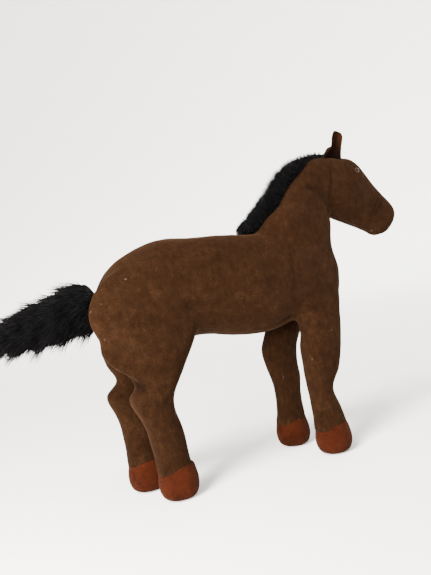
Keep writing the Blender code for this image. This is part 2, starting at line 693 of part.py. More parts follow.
def ear_layer(name, root, facing, upward, back_depth, front_depth, width):
    """One cupped leaf of an ear, between two depths behind its lining."""
    across = upward.cross(facing).normalized()
    rows, columns = 5, 6
    bm = bmesh.new()
    sheets = []
    for depth in (front_depth, back_depth):
        sheet = []
        for row in range(rows + 1):
            share = row / rows
            half = width * (EAR_ROOT_SHARE + 1.35 * share - 1.68 * share ** 3)
            line = []
            for column in range(columns + 1):
                turn = (column / columns * 2 - 1) * math.radians(78)
                out = half * math.sin(turn)
                fold = (1 - math.cos(turn)) * EAR_CUP * half / width
                spot = root + upward * share * EAR_HEIGHT + across * out + facing * (fold - depth)
                line.append(bm.verts.new(spot))
            sheet.append(line)
        sheets.append(sheet)
    front, back = sheets
    for row in range(rows):
        for column in range(columns):
            for sheet in sheets:
                bm.faces.new((sheet[row][column], sheet[row][column + 1],
                              sheet[row + 1][column + 1], sheet[row + 1][column]))
        for column in (0, columns):
            bm.faces.new((front[row][column], front[row + 1][column],
                          back[row + 1][column], back[row][column]))
    for column in range(columns):
        for row in (0, rows):
            bm.faces.new((front[row][column], front[row][column + 1],
                          back[row][column + 1], back[row][column]))
    return make_object(name, bm)


def ear_pose(left_root, side):
    """Root, facing and upward directions of an ear. The left ear lies forwards and outwards."""
    root = Vector((left_root.x, side * left_root.y, left_root.z))
    upward = Vector((0.10, -0.12, 1.0)) if side < 0 else Vector((0.62, 0.62, 0.75))
    upward.normalize()
    outward = Vector((1.0, side * 0.25, 0))
    facing = (outward - upward * outward.dot(upward)).normalized()
    return root, facing, upward


def make_ears(left_root):
    """Velvet backs with felt linings, one on each side of the poll."""
    for side, word in ((-1, "right"), (1, "left")):
        root, facing, upward = ear_pose(left_root, side)
        back = ear_layer("ear_" + word + "_back", root, facing, upward,
                         2 * EAR_LAYER + GAP, EAR_LAYER + GAP, EAR_HALF_WIDTH)
        lining = ear_layer("ear_" + word + "_lining", root, facing, upward,
                           EAR_LAYER, 0.0, EAR_HALF_WIDTH * 0.86)
        complete(back, VELVET, root)
        complete(lining, FELT_RUST, root)


def make_tail():
    """Fur sleeve over a stuffed core that turns at the rump."""
    slope = math.radians(TAIL_SLOPE)
    along = Vector((-math.cos(slope), 0, -math.sin(slope)))
    upward = Vector((-math.sin(slope), 0, math.cos(slope)))
    sideways = Vector((0, 1, 0))

    def ring(distance, radius):
        return oval(tail + along * distance, sideways, upward, radius, radius, power=2, sides=12)

    core_length = TAIL_LENGTH * 0.8
    round_end = [(-math.cos(t), math.sin(t)) for t in (0.25, 0.7, 1.15, math.pi / 2)]
    core_rings = [ring(a * TAIL_CORE_RADIUS, r * TAIL_CORE_RADIUS) for a, r in round_end]
    core_rings.append(ring(core_length * 0.6, TAIL_CORE_RADIUS * 0.8))
    core_rings.append(ring(core_length, TAIL_CORE_RADIUS * 0.4))
    core = loft("tail_core", core_rings)
    fur = loft("tail_fur", [ring(s * TAIL_LENGTH, r * TAIL_FUR_RADIUS) for s, r in TAIL_STATIONS])
    bore = loft("bore", [
        ring(0, TAIL_CORE_RADIUS + GAP), ring(core_length * 0.6, TAIL_CORE_RADIUS * 0.8 + GAP),
        ring(core_length + GAP, TAIL_CORE_RADIUS * 0.4 + GAP),
    ])
    carve(fur, "DIFFERENCE", [bore])
    discard([bore])
    complete(core, VELVET, tail)
    complete(fur, BLACK_FUR, tail)


def centre_over_origin():
    """Move the pieces along X until the middle of the whole horse stands over the origin."""
    bodies = list(bpy.context.scene.objects)
    reach = [body.location.x + vertex.co.x for body in bodies for vertex in body.data.vertices]
    middle = (min(reach) + max(reach)) / 2
    for body in bodies:
        body.location.x -= middle


def make_horse():
    """Build every piece of the toy."""
    clear_scene()
    legs = make_legs()
    make_trunk(legs)
    for leg in legs:
        leg.build()
    make_neck()
    make_head()
    make_tail()
    centre_over_origin()


make_horse()
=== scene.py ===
import json
import math

import bpy
import numpy as np
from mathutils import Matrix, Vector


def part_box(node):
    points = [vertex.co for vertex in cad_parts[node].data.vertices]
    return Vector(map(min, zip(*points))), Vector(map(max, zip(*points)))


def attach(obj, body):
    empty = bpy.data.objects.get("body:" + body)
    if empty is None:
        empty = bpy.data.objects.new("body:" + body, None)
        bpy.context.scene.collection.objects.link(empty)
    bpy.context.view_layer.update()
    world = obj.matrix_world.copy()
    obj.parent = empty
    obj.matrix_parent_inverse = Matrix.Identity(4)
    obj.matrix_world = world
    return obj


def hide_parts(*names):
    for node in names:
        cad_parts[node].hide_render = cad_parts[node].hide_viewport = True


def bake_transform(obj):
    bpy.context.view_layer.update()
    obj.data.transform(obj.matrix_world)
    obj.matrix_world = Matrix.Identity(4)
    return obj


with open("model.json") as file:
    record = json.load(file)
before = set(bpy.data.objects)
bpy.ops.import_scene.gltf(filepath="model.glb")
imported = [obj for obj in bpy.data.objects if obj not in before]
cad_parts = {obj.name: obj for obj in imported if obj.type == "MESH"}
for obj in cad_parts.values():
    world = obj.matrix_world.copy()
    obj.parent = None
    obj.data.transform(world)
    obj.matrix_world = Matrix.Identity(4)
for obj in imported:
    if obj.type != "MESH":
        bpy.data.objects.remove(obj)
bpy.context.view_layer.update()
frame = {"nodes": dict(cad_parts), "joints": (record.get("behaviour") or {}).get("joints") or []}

# Everything is placed from the hinges and boxes of the frame, in metres.
# X runs from the tail to the nose, Y to the horse's left, and the soles stand on Z = 0.
hinges = {joint["name"]: np.array(joint["pos_m"], float) for joint in frame["joints"]}
hip = hinges["hind_leg_right_swing"]
shoulder = hinges["fore_leg_right_swing"]
neck = hinges["neck_nod"]
head = hinges["head_nod"]
tailRoot = hinges["tail_lift"]
trunkLow, trunkHigh = (np.array(corner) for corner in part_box("trunk_side_right"))
rump, chest, back = trunkLow[0], trunkHigh[0], trunkHigh[2]
right, up = np.array((1.0, 0, 0)), np.array((0, 0, 1.0))
left = np.array((0, 1.0, 0))
rng = np.random.default_rng(7)


# surfaces as arrays

def through(places, values, at):
    # smooth line through points: a cubic between each two, whose slope at a point is its neighbours'
    places, values, at = (np.asarray(x, float) for x in (places, values, at))
    slope = np.gradient(values, places, axis=0)
    i = np.clip(np.searchsorted(places, at, side="right") - 1, 0, len(places) - 2)
    step = (places[i + 1] - places[i])[:, None]
    t = (at - places[i])[:, None] / step
    return ((1 + 2 * t) * (1 - t) ** 2 * values[i] + t * (1 - t) ** 2 * step * slope[i]
            + t * t * (3 - 2 * t) * values[i + 1] + t * t * (t - 1) * step * slope[i + 1])


def spaced(rows, count):
    # even steps from the first row's place to the last row's, and the smooth values there
    table = np.array(rows)
    at = np.linspace(table[0, 0], table[-1, 0], count)
    return at, through(table[:, 0], table[:, 1:], at).T


def rings(centre, across, upward, halfAcross, halfUp, power=2.4, columns=48):
    # ring of a superellipse, |a|^power + |b|^power = 1, at each point of a line of centres
    turn = np.arange(columns) / columns * 2 * math.pi
    c, s = np.cos(turn), np.sin(turn)
    a = (np.sign(c) * np.abs(c) ** (2 / power))[None, :, None]
    b = (np.sign(s) * np.abs(s) ** (2 / power))[None, :, None]
    across, upward = (np.broadcast_to(d, centre.shape)[:, None] for d in (across, upward))
    return centre[:, None] + across * a * halfAcross[:, None, None] + upward * b * halfUp[:, None, None]


def tubeFaces(rows, columns, first=0):
    # quads between neighbouring rings, and a fan to a point at each end
    r, c = np.meshgrid(np.arange(rows - 1), np.arange(columns), indexing="ij")
    here, beside = r * columns + c, r * columns + (c + 1) % columns
    quads = np.stack((here, beside, beside + columns, here + columns), -1).reshape(-1, 4) + first
    ring = np.arange(columns)
    after = (ring + 1) % columns
    start = np.stack((ring * 0 + rows * columns, after, ring), -1) + first
    top = (rows - 1) * columns
    finish = np.stack((ring * 0 + rows * columns + 1, ring + top, after + top), -1) + first
    return quads.tolist() + start.tolist() + finish.tolist()


def tubePoints(grid):
    # the rings in a row, then the two end points
    ends = np.stack((grid[0].mean(0), grid[-1].mean(0)))
    return np.vstack((grid.reshape(-1, 3), ends))


def makeMesh(name, points, faces):
    # smooth mesh, turned outwards if the volume under its triangles comes out negative
    mesh = bpy.data.meshes.new(name)
    mesh.from_pydata(points.tolist(), [], faces)
    mesh.calc_loop_triangles()
    corners = np.empty(len(mesh.loop_triangles) * 3, np.int32)
    mesh.loop_triangles.foreach_get("vertices", corners)
    p = points[corners.reshape(-1, 3)]
    if np.einsum("ij,ij->i", p[:, 0], np.cross(p[:, 1], p[:, 2])).sum() < 0:
        mesh.flip_normals()
    mesh.shade_smooth()
    return mesh


def tubeMesh(name, grid):
    # closed mesh through the rings of a grid
    return makeMesh(name, tubePoints(grid), tubeFaces(*grid.shape[:2]))


def placed(name, data):
    # an object at the origin, in the scene
    made = bpy.data.objects.new(name, data)
    bpy.context.scene.collection.objects.link(made)
    return made


def applied(piece):
    # mesh of a piece with its modifiers applied, as points and quads
    solved = piece.evaluated_get(bpy.context.evaluated_depsgraph_get())
    mesh = solved.to_mesh()
    points = np.empty(len(mesh.vertices) * 3)
    mesh.vertices.foreach_get("co", points)
    corners = np.empty(len(mesh.loops), np.int32)
    mesh.loops.foreach_get("vertex_index", corners)
    solved.to_mesh_clear()
    return points.reshape(-1, 3), corners.reshape(-1, 4)


def edgesOf(quads):
    # each edge of the quads once
    pairs = np.stack((quads, np.roll(quads, -1, axis=1)), -1).reshape(-1, 2)
    return np.unique(np.sort(pairs, axis=1), axis=0)


def smoothed(points, edges, rounds, share):
    # each round moves a point a share of the way to the mean of its neighbours; share varies by point
    count = np.bincount(edges.ravel(), minlength=len(points))[:, None]
    for _ in range(rounds):
        total = np.zeros_like(points)
        for axis in range(3):
            total[:, axis] = (np.bincount(edges[:, 0], points[edges[:, 1], axis], len(points))
                              + np.bincount(edges[:, 1], points[edges[:, 0], axis], len(points)))
        points = points + share * (total / count - points)
    return points


def normalsOf(points, quads):
    # mean of the normals of the faces round each point
    normal = np.cross(points[quads[:, 2]] - points[quads[:, 0]], points[quads[:, 3]] - points[quads[:, 1]])
    total = np.zeros_like(points)
    for corner in range(4):
        for axis in range(3):
            total[:, axis] += np.bincount(quads[:, corner], normal[:, axis], len(points))
    return total / np.linalg.norm(total, axis=1)[:, None]


def hump(at, middle, reach):
    # bell curve: 1 at the middle, falling off over the reach
    return np.exp(-((at - middle) / reach) ** 2)


def unit(v):
    return v / np.linalg.norm(v, axis=-1)[..., None]


def near(points, a, b, width):
    # 1 on the line from a to b, falling off over width as a bell curve
    a, b = np.asarray(a, float), np.asarray(b, float)
    t = np.clip((points - a) @ (b - a) / ((b - a) @ (b - a)), 0, 1)[:, None]
    gap = np.linalg.norm(points - a - t * (b - a), axis=1)
    return hump(gap, 0, width)


def ripple(points, longest, count=18):
    # sum of plane waves in random directions, longest apart or down to a third of it, mostly -1 to 1
    direction = rng.normal(size=(count, 3))
    direction /= np.linalg.norm(direction, axis=1)[:, None]
    pitch = longest * rng.uniform(0.33, 1.0, count)
    phase = rng.uniform(0, 2 * math.pi, count)
    return np.sin(points @ (direction * (2 * math.pi / pitch)[:, None]).T + phase).sum(1) / math.sqrt(count)


# materials

class Value:
    # a number or colour that varies over a surface; an expression on values adds its Math nodes
    def __init__(self, graph, socket):
        self.graph, self.socket = graph, socket

    def math(self, operation, a, b):
        return self.graph.node("ShaderNodeMath", {"operation": operation}, {0: a, 1: b})

    def __add__(self, other):
        return self.math("ADD", self, other)

    def __sub__(self, other):
        return self.math("SUBTRACT", self, other)

    def __rsub__(self, other):
        return self.math("SUBTRACT", other, self)

    def __mul__(self, other):
        return self.math("MULTIPLY", self, other)

    __radd__, __rmul__ = __add__, __mul__


class Graph:
    # the node tree of one material, with its Principled shader
    def __init__(self, name, **constants):
        self.material = bpy.data.materials.new(name)
        self.material.use_nodes = True
        self.tree = self.material.node_tree
        self.shader = self.tree.nodes["Principled BSDF"]
        for socket, value in constants.items():
            self.shader.inputs[socket.replace("_", " ")].default_value = value

    def node(self, kind, settings, inputs, output=0):
        # any node: its settings first, then the values or links of its sockets
        made = self.tree.nodes.new(kind)
        for key, value in settings.items():
            setattr(made, key, value)
        for key, value in inputs.items():
            if isinstance(value, Value):
                self.tree.links.new(value.socket, made.inputs[key])
            else:
                made.inputs[key].default_value = value
        return Value(self, made.outputs[output])

    def place(self, scale=(1, 1, 1), turn=(0, 0, 0)):
        # object coordinates, stretched and turned
        spot = self.node("ShaderNodeTexCoord", {}, {}, "Object")
        return self.node("ShaderNodeMapping", {}, {"Vector": spot, "Rotation": turn, "Scale": scale})

    def noise(self, where, scale, detail, roughness=0.5):
        # clouds of a scale in waves per metre, with finer clouds laid over them
        return self.node("ShaderNodeTexNoise", {}, {"Vector": where, "Scale": scale, "Detail": detail,
                                                    "Roughness": roughness}, "Fac")

    def between(self, value, low, high):
        # 0 below low, 1 above high, and smooth in between
        return self.node("ShaderNodeMapRange", {"interpolation_type": "SMOOTHSTEP"},
                         {"Value": value, "From Min": low, "From Max": high})

    def mix(self, share, a, b):
        # colour a where share is 0, colour b where it is 1
        a, b = ((*c, 1) if isinstance(c, tuple) else c for c in (a, b))
        return self.node("ShaderNodeMix", {"data_type": "RGBA"}, {0: share, 6: a, 7: b}, 2)

    def shade(self, **inputs):
        # links what varies over the surface to the shader
        for key, value in inputs.items():
            self.tree.links.new(value.socket, self.shader.inputs[key.replace("_", " ")])
        return self.material

    def bump(self, height, distance, strength):
        return self.node("ShaderNodeBump", {}, {"Height": height, "Distance": distance, "Strength": strength})


velvetLook = {
    "dark": (0.0052, 0.0021, 0.0008), "mid": (0.0088, 0.0037, 0.0015), "light": (0.0180, 0.0083, 0.0038),
    # the first colour on the next line is painted shade for seams and folds
    "crease": (0.0014, 0.0006, 0.0003), "lint": (0.08, 0.055, 0.038), "sheen": (1.0, 0.50, 0.25, 1),
    # scale, detail and roughness of each pattern
    "blotch": (60, 3, 0.6), "brushed": (300, 2, 0.55), "grain": (1000, 2, 0.6),
    "lintSpecks": (420, 1, 0.4), "lintPlaces": (60, 1, 0.4),
    "brushedLie": ((1, 1, 0.7), (0.2, 0.3, 0.1)),  # how it is stretched and turned
    "blotchShare": 0.26, "brushedShare": 0.34, "grainShare": 0.40, "lightShare": 0.75, "lintShare": 0.40,
    # tone at which one colour gives way to the next
    "midTone": (0.36, 0.53), "lightTone": (0.50, 0.68), "lintTone": (0.745, 0.78), "lintPlace": (0.56, 0.62),
    "pileGrain": 0.55, "pileBrushed": 0.45, "pileHeight": 0.0007, "pileStrength": 0.55,
}


def velvet():
    # short pile: soft blotches where it lies over, a fine grain, a few specks of lint, and painted shade in
    # its seams and folds
    look = velvetLook
    g = Graph("velvet", Roughness=0.95, Sheen_Weight=0.025, Sheen_Roughness=0.45, Sheen_Tint=look["sheen"],
              Specular_IOR_Level=0.02)
    spot = g.place()
    blotch = g.noise(spot, *look["blotch"])
    brushed = g.noise(g.place(*look["brushedLie"]), *look["brushed"])
    grain = g.noise(spot, *look["grain"])
    tone = blotch * look["blotchShare"] + brushed * look["brushedShare"] + grain * look["grainShare"]
    colour = g.mix(g.between(tone, *look["midTone"]), look["dark"], look["mid"])
    colour = g.mix(g.between(tone, *look["lightTone"]) * look["lightShare"], colour, look["light"])
    specks = g.between(g.noise(spot, *look["lintSpecks"]), *look["lintTone"])
    lint = specks * g.between(g.noise(spot, *look["lintPlaces"]), *look["lintPlace"])
    colour = g.mix(lint * look["lintShare"], colour, look["lint"])
    # painted shade: the velvet turns darker along its seams and folds, by an amount stored on each point of
    # the skin
    crease = g.node("ShaderNodeAttribute", {"attribute_name": "crease"}, {}, "Fac")
    colour = g.mix(crease, colour, look["crease"])
    pile = grain * look["pileGrain"] + brushed * look["pileBrushed"]
    return g.shade(Base_Color=colour, Normal=g.bump(pile, look["pileHeight"], look["pileStrength"]))


feltLook = {
    "dark": (0.0098, 0.0020, 0.0007), "mid": (0.0175, 0.0036, 0.0011), "light": (0.028, 0.0068, 0.0024),
    "sheen": (1, 0.45, 0.25, 1),
    "cloud": (90, 4, 0.6), "fibre": (1100, 2, 0.6), "crossed": (1000, 2, 0.6),  # scale, detail, roughness
    "fibreLie": ((1, 0.25, 1), (0.4, 0.9, 0.2)), "crossedLie": ((0.25, 1, 1), (0.1, 0.2, 0.9)),
    "cloudShare": 0.55, "fibreShare": 0.25, "crossedShare": 0.20, "lightShare": 0.7,
    "midTone": (0.36, 0.52), "lightTone": (0.52, 0.68),
    "fibreHeight": 0.0006, "fibreStrength": 0.5,
}


def felt():
    # matted wool: cloudy colour, short crossed fibres
    look = feltLook
    g = Graph("felt", Roughness=0.93, Sheen_Weight=0.02, Sheen_Roughness=0.5, Sheen_Tint=look["sheen"],
              Specular_IOR_Level=0.03)
    cloud = g.noise(g.place(), *look["cloud"])
    fibre = g.noise(g.place(*look["fibreLie"]), *look["fibre"])
    crossed = g.noise(g.place(*look["crossedLie"]), *look["crossed"])
    tone = cloud * look["cloudShare"] + fibre * look["fibreShare"] + crossed * look["crossedShare"]
    colour = g.mix(g.between(tone, *look["midTone"]), look["dark"], look["mid"])
    colour = g.mix(g.between(tone, *look["lightTone"]) * look["lightShare"], colour, look["light"])
    fibres = g.bump(fibre + crossed, look["fibreHeight"], look["fibreStrength"])
    return g.shade(Base_Color=colour, Normal=fibres)


furLook = {
    "root": (0.0006, 0.0006, 0.0007), "tip": (0.0029, 0.0026, 0.0027), "sheen": (0.75, 0.82, 1.0, 1),
    "lock": (260, 3, 0.6), "tone": (0.35, 0.68), "lockHeight": 0.0003, "lockStrength": 0.4,
}


def fur():
    # near black, a little paler from lock to lock
    look = furLook
    g = Graph("black_fur", Roughness=0.6, Sheen_Weight=0.008, Sheen_Roughness=0.5, Sheen_Tint=look["sheen"],
              Specular_IOR_Level=0.03)
    lock = g.noise(g.place(), *look["lock"])
    colour = g.mix(g.between(lock, *look["tone"]), look["root"], look["tip"])
    return g.shade(Base_Color=colour, Normal=g.bump(lock, look["lockHeight"], look["lockStrength"]))


# the stuffed body: closed forms, which one skin is drawn over

bodyShape = {
    "depth": 0.068,        # belly to back
    "halfWidth": 0.027,    # of the trunk at its widest
    "voxel": 0.0014,
    "rounding": 9,         # rounds of smoothing everywhere
    "joinRounding": 60,    # more rounds along these lines, seen from the side, where limbs join
    "joins": (((0.052, 0, 0.152), (0.092, 0, 0.150), 0.013), ((-0.060, 0, 0.140), (-0.030, 0, 0.128), 0.017),
              ((0.090, 0, 0.105), (0.094, 0, 0.135), 0.014), ((0.050, 0, 0.120), (0.090, 0, 0.122), 0.012)),
    # share of length, low, high and width
    "trunk": ((-0.012, 0.26, 0.38, 0.14), (-0.002, 0.18, 0.46, 0.32), (0.020, 0.09, 0.62, 0.56),
              (0.055, 0.06, 0.77, 0.78), (0.130, 0.04, 0.91, 0.93), (0.230, 0.04, 1.00, 1.00),
              (0.370, 0.055, 1.01, 1.00), (0.515, -0.01, 1.00, 1.00), (0.655, -0.03, 0.985, 0.97),
              (0.780, 0.06, 0.98, 0.90), (0.875, 0.12, 0.92, 0.82), (0.950, 0.15, 0.86, 0.66),
              (0.982, 0.22, 0.78, 0.46), (0.996, 0.32, 0.66, 0.20)),
    # height above the neck hinge, back and front from it, and half width
    "neck": ((-0.0320, -0.006, 0.006, 0.0100), (-0.0267, -0.0180, 0.0160, 0.0180),
             (-0.0135, -0.0290, 0.0250, 0.0212), (0.0000, -0.0325, 0.0282, 0.0208),
             (0.0060, -0.0292, 0.0286, 0.0196), (0.0141, -0.0172, 0.0292, 0.0176),
             (0.0216, -0.0104, 0.0303, 0.0160), (0.0291, -0.0050, 0.0315, 0.0146),
             (0.0366, 0.0030, 0.0325, 0.0132), (0.0435, 0.0120, 0.0319, 0.0100)),
    # distance along the face from the head hinge, low, high and half width
    "head": ((-0.0220, -0.0047, 0.0040, 0.0080), (-0.0189, -0.0122, 0.0105, 0.0112),
             (-0.0112, -0.0195, 0.0183, 0.0134), (0.0000, -0.0215, 0.0256, 0.0145),
             (0.0067, -0.0204, 0.0309, 0.0146), (0.0180, -0.0167, 0.0327, 0.0146),
             (0.0279, -0.0140, 0.0309, 0.0127), (0.0399, -0.0108, 0.0280, 0.0106),
             (0.0519, -0.0080, 0.0253, 0.0100), (0.0614, -0.0060, 0.0233, 0.0098),
             (0.0660, -0.0016, 0.0202, 0.0078), (0.0684, 0.0032, 0.0150, 0.0038)),
    "faceSlope": 37,       # degrees that the face points down
}

legShape = {
    # radius: of the disc at the top of the leg; web: from the middle of the horse to the disc
    # halfWidth: of the disc; footSpread: from the middle of the horse to a foot; haunch: the disc's reach
    # behind, right and left; sink: how far it thins out as it rises
    # left leg only: setBack of the foot, and how far elbow, tuck and hollow move its outline
    "hind": {
        "hinge": hip, "radius": 0.03075, "web": 0.0083, "halfWidth": 0.0094, "footSpread": 0.0155,
        "setBack": 0.0115, "elbow": 0.0, "tuck": 0.0, "hollow": 0.010, "sink": 0.75, "haunch": (1.25, 0.90),
        # share of the height of the disc's foot, back and front from the hinge, and half width
        "stations": ((0.150, -0.0088, 0.0105, 0.0082), (0.195, -0.0102, 0.0116, 0.0094),
                     (0.256, -0.0108, 0.0104, 0.0089), (0.420, -0.0124, 0.0090, 0.0088),
                     (0.530, -0.0142, 0.0072, 0.0089), (0.600, -0.0165, 0.0058, 0.0090),
                     (0.690, -0.0206, 0.0047, 0.0095), (0.765, -0.0222, 0.0062, 0.0099),
                     (0.835, -0.0170, 0.0098, 0.0099), (0.910, -0.0208, 0.0142, 0.0097),
                     (1.000, -0.0290, 0.0194, 0.0096), (1.095, -0.0345, 0.0240, 0.0096)),
    },
    "fore": {
        "hinge": shoulder, "radius": 0.02125, "web": 0.0075, "halfWidth": 0.0085, "footSpread": 0.0205,
        "setBack": 0.009, "elbow": 0.0095, "tuck": 0.0125, "hollow": 0.0, "sink": 0.75, "haunch": (1.0, 1.0),
        "stations": ((0.150, -0.0165, 0.0040, 0.0082), (0.200, -0.0178, 0.0056, 0.0094),
                     (0.260, -0.0172, 0.0046, 0.0088), (0.400, -0.0170, 0.0020, 0.0086),
                     (0.525, -0.0172, -0.0004, 0.0086), (0.640, -0.0190, 0.0066, 0.0088),
                     (0.760, -0.0192, 0.0106, 0.0090), (0.880, -0.0182, 0.0134, 0.0092),
                     (0.960, -0.0162, 0.0154, 0.0092), (1.040, -0.0152, 0.0172, 0.0090)),
    },
    # the left legs are set back. Middle and reach, up the leg, of what that does to their outline:
    "elbowAt": (0.92, 0.28),    # the fore leg's elbow stands out behind
    "tuckAt": (0.88, 0.28),     # the front of its upper arm falls in
    "kneeAt": (0.52, 0.10),     # and its knee stands out ahead, by a share of the tuck
    "hollowAt": (1.10, 0.17),   # the back of the hind leg's thigh falls in
    "tuckStart": 0.50, "tuckRise": 0.16, "kneeShare": 0.22,
    # the disc at the top of a leg: from and to these shares of its radius, with a rounded rim
    "discLow": -0.45, "discHigh": 0.98, "rimEdge": 0.55, "sinkStart": -0.2, "sinkRise": 1.2,
}


def trunkGrid():
    # superellipses from rump to chest, between the belly line and the back line
    at, (low, high, width) = spaced(bodyShape["trunk"], 90)
    depth, belly = bodyShape["depth"], back - bodyShape["depth"]
    centre = np.stack((rump + at * (chest - rump), at * 0, belly + (low + high) / 2 * depth), -1)
    return rings(centre, left, up, width * bodyShape["halfWidth"], (high - low) / 2 * depth)


def neckGrid():
    # level superellipses that rise from inside the chest, between the throat and the crest
    at, (rear, front, half) = spaced(bodyShape["neck"], 60)
    centre = np.stack((neck[0] + (rear + front) / 2, at * 0, neck[2] + at), -1)
    return rings(centre, right, left, (front - rear) / 2, half)


def headGrid():
    # superellipses along the face, which slopes down to the muzzle
    at, (low, high, half) = spaced(bodyShape["head"], 70)
    slope = math.radians(bodyShape["faceSlope"])
    forward = np.array((math.cos(slope), 0, -math.sin(slope)))
    upward = np.array((math.sin(slope), 0, math.cos(slope)))
    centre = head + at[:, None] * forward + ((low + high) / 2)[:, None] * upward
    return rings(centre, left, upward, half, (high - low) / 2, power=2.3)


def legLine(kind, side, at):
    # where a leg's back, front and middle are, and its half width, at shares of the height of its disc's foot
    shape = legShape[kind]
    drop = shape["hinge"][2] - shape["radius"]
    table = np.array(shape["stations"])
    rear, front, half = through(table[:, 0], table[:, 1:], at).T
    isLeft = 1 if side > 0 else 0
    lean = isLeft * shape["setBack"] * (1 - np.minimum(1, at * drop / shape["hinge"][2]))
    bulge = isLeft * shape["elbow"] * hump(at, *legShape["elbowAt"])
    bulge -= isLeft * shape["hollow"] * hump(at, *legShape["hollowAt"])
    onset = np.clip((at - legShape["tuckStart"]) / legShape["tuckRise"], 0, 1)
    tuck = (shape["tuck"] * hump(at, *legShape["tuckAt"]) * onset
            - legShape["kneeShare"] * shape["tuck"] * hump(at, *legShape["kneeAt"])) * isLeft
    topY = shape["web"] + shape["halfWidth"]
    y = side * (shape["footSpread"] + (topY - shape["footSpread"]) * np.minimum(1, at))
    x = shape["hinge"][0]
    return x + rear - lean - bulge, x + front - lean - tuck, y, half


def legGrid(kind, side):
    # stations up to the foot of the disc, then the disc with its rounded rim
    shape = legShape[kind]
    drop = shape["hinge"][2] - shape["radius"]
    at = np.linspace(shape["stations"][0][0], shape["stations"][-1][0], 60)
    rear, front, y, half = legLine(kind, side, at)
    level = np.linspace(legShape["discLow"], legShape["discHigh"], 30)
    chord = np.sqrt(1 - level * level)
    reach = shape["radius"] * chord
    sunk = np.clip((level - legShape["sinkStart"]) / legShape["sinkRise"], 0, 1)
    edge = legShape["rimEdge"]
    rim = shape["halfWidth"] * (edge + (1 - edge) * chord)
    rim *= 1 - shape["sink"] * sunk * sunk  # the thigh thins out into the trunk as it rises
    x = shape["hinge"][0]
    z = np.concatenate((at * drop, shape["hinge"][2] + level * shape["radius"]))
    rear = np.concatenate((rear, x - reach * shape["haunch"][int(side > 0)]))
    front = np.concatenate((front, x + reach))
    half = np.concatenate((half, rim))
    y = np.concatenate((y, level * 0 + y[-1]))
    return rings(np.stack(((rear + front) / 2, y, z), -1), right, left, (front - rear) / 2, half)


creaseShape = {
    "lump": 0.00028, "lumpSize": 0.060,      # the stuffing under the cover
    "dimple": 0.00009, "dimpleSize": 0.018,
    # seam down the middle, above this height, with painted shade along it
    "middleWidth": 0.0011, "middleDepth": 0.0006, "middleDark": 0.45, "middleLow": 0.100,
    # each seam or fold: its line on the right side, width, depth and how much painted shade it gets
    "lines": {
        "shoulder": (((0.0520, -0.026, 0.134), (0.0516, -0.027, 0.120), (0.0494, -0.027, 0.107),
                      (0.0467, -0.026, 0.097)),
                     0.0024, 0.0015, 0.30),
        "throat": (((0.0806, -0.015, 0.185), (0.0880, -0.014, 0.1814), (0.0927, -0.014, 0.1743),
                    (0.0965, -0.012, 0.167)),
                   0.0022, 0.0010, 0.55),
        "cheek": (((0.1068, -0.012, 0.2043), (0.1032, -0.014, 0.1914), (0.1009, -0.014, 0.1795),
                   (0.0989, -0.013, 0.1693), (0.0976, -0.010, 0.1626)), 0.0015, 0.0008, 0.30),
        "muzzleAhead": (((0.1514, -0.008, 0.1729), (0.1467, -0.010, 0.1668), (0.1420, -0.010, 0.1608)),
                        0.0012, 0.0007, 0.50),
        "muzzleBehind": (((0.1468, -0.009, 0.1731), (0.1419, -0.011, 0.1662), (0.1373, -0.010, 0.1603)),
                         0.0012, 0.0007, 0.50),
        "flank": (((-0.0285, -0.026, 0.1135), (-0.0240, -0.027, 0.1085), (-0.0232, -0.026, 0.100),
                   (-0.0250, -0.024, 0.0955)), 0.0022, 0.0012, 0.35),
        "thigh": (((-0.0780, -0.014, 0.0815), (-0.0700, -0.018, 0.0750), (-0.0630, -0.022, 0.0700)),
                  0.0036, 0.0016, 0.95),
        "belly": (((-0.0230, -0.018, 0.0945), (0.0012, -0.018, 0.0911), (0.0208, -0.018, 0.0891),
                   (0.0348, -0.018, 0.0905), (0.0460, -0.018, 0.0960)), 0.0014, 0.0007, 0.50),
    },
}

sides = ((-1, "right"), (1, "left"))
legs = [(kind, side, f"{kind}_leg_{word}") for kind in ("hind", "fore") for side, word in sides]


def joinedForms():
    # the closed forms of the trunk, neck, head and legs as one list of points and one of faces
    grids = [trunkGrid(), neckGrid(), headGrid()] + [legGrid(kind, side) for kind, side, _ in legs]
    points, faces, first = [], [], 0
    for grid in grids:
        own = tubeMesh("form", grid)
        co = np.empty(len(own.vertices) * 3)
        own.vertices.foreach_get("co", co)
        points.append(co.reshape(-1, 3))
        faces += [[v + first for v in face.vertices] for face in own.polygons]
        first += len(own.vertices)
        bpy.data.meshes.remove(own)
    return np.vstack(points), faces


def smoothSkin():
    # one skin over all the forms: remeshed in small cubes, smoothed, and divided once
    points, faces = joinedForms()
    mesh = bpy.data.meshes.new("forms")
    mesh.from_pydata(points.tolist(), [], faces)
    form = placed("forms", mesh)
    remesh = form.modifiers.new("remesh", "REMESH")
    remesh.mode = "VOXEL"
    remesh.voxel_size = bodyShape["voxel"]
    points, quads = applied(form)
    bpy.data.objects.remove(form)
    edges = edgesOf(quads)
    points = smoothed(points, edges, bodyShape["rounding"], 0.5)
    joins = np.zeros(len(points))
    for a, b, width in bodyShape["joins"]:
        joins = np.maximum(joins, near(points * (1, 0, 1), a, b, width))
    points = smoothed(points, edges, bodyShape["joinRounding"], 0.5 * joins[:, None])
    coarse = placed("coarse", makeMesh("coarse", points, quads.tolist()))
    divide = coarse.modifiers.new("divide", "SUBSURF")
    divide.levels = divide.render_levels = 1
    points, quads = applied(coarse)
    bpy.data.objects.remove(coarse)
    return points, quads


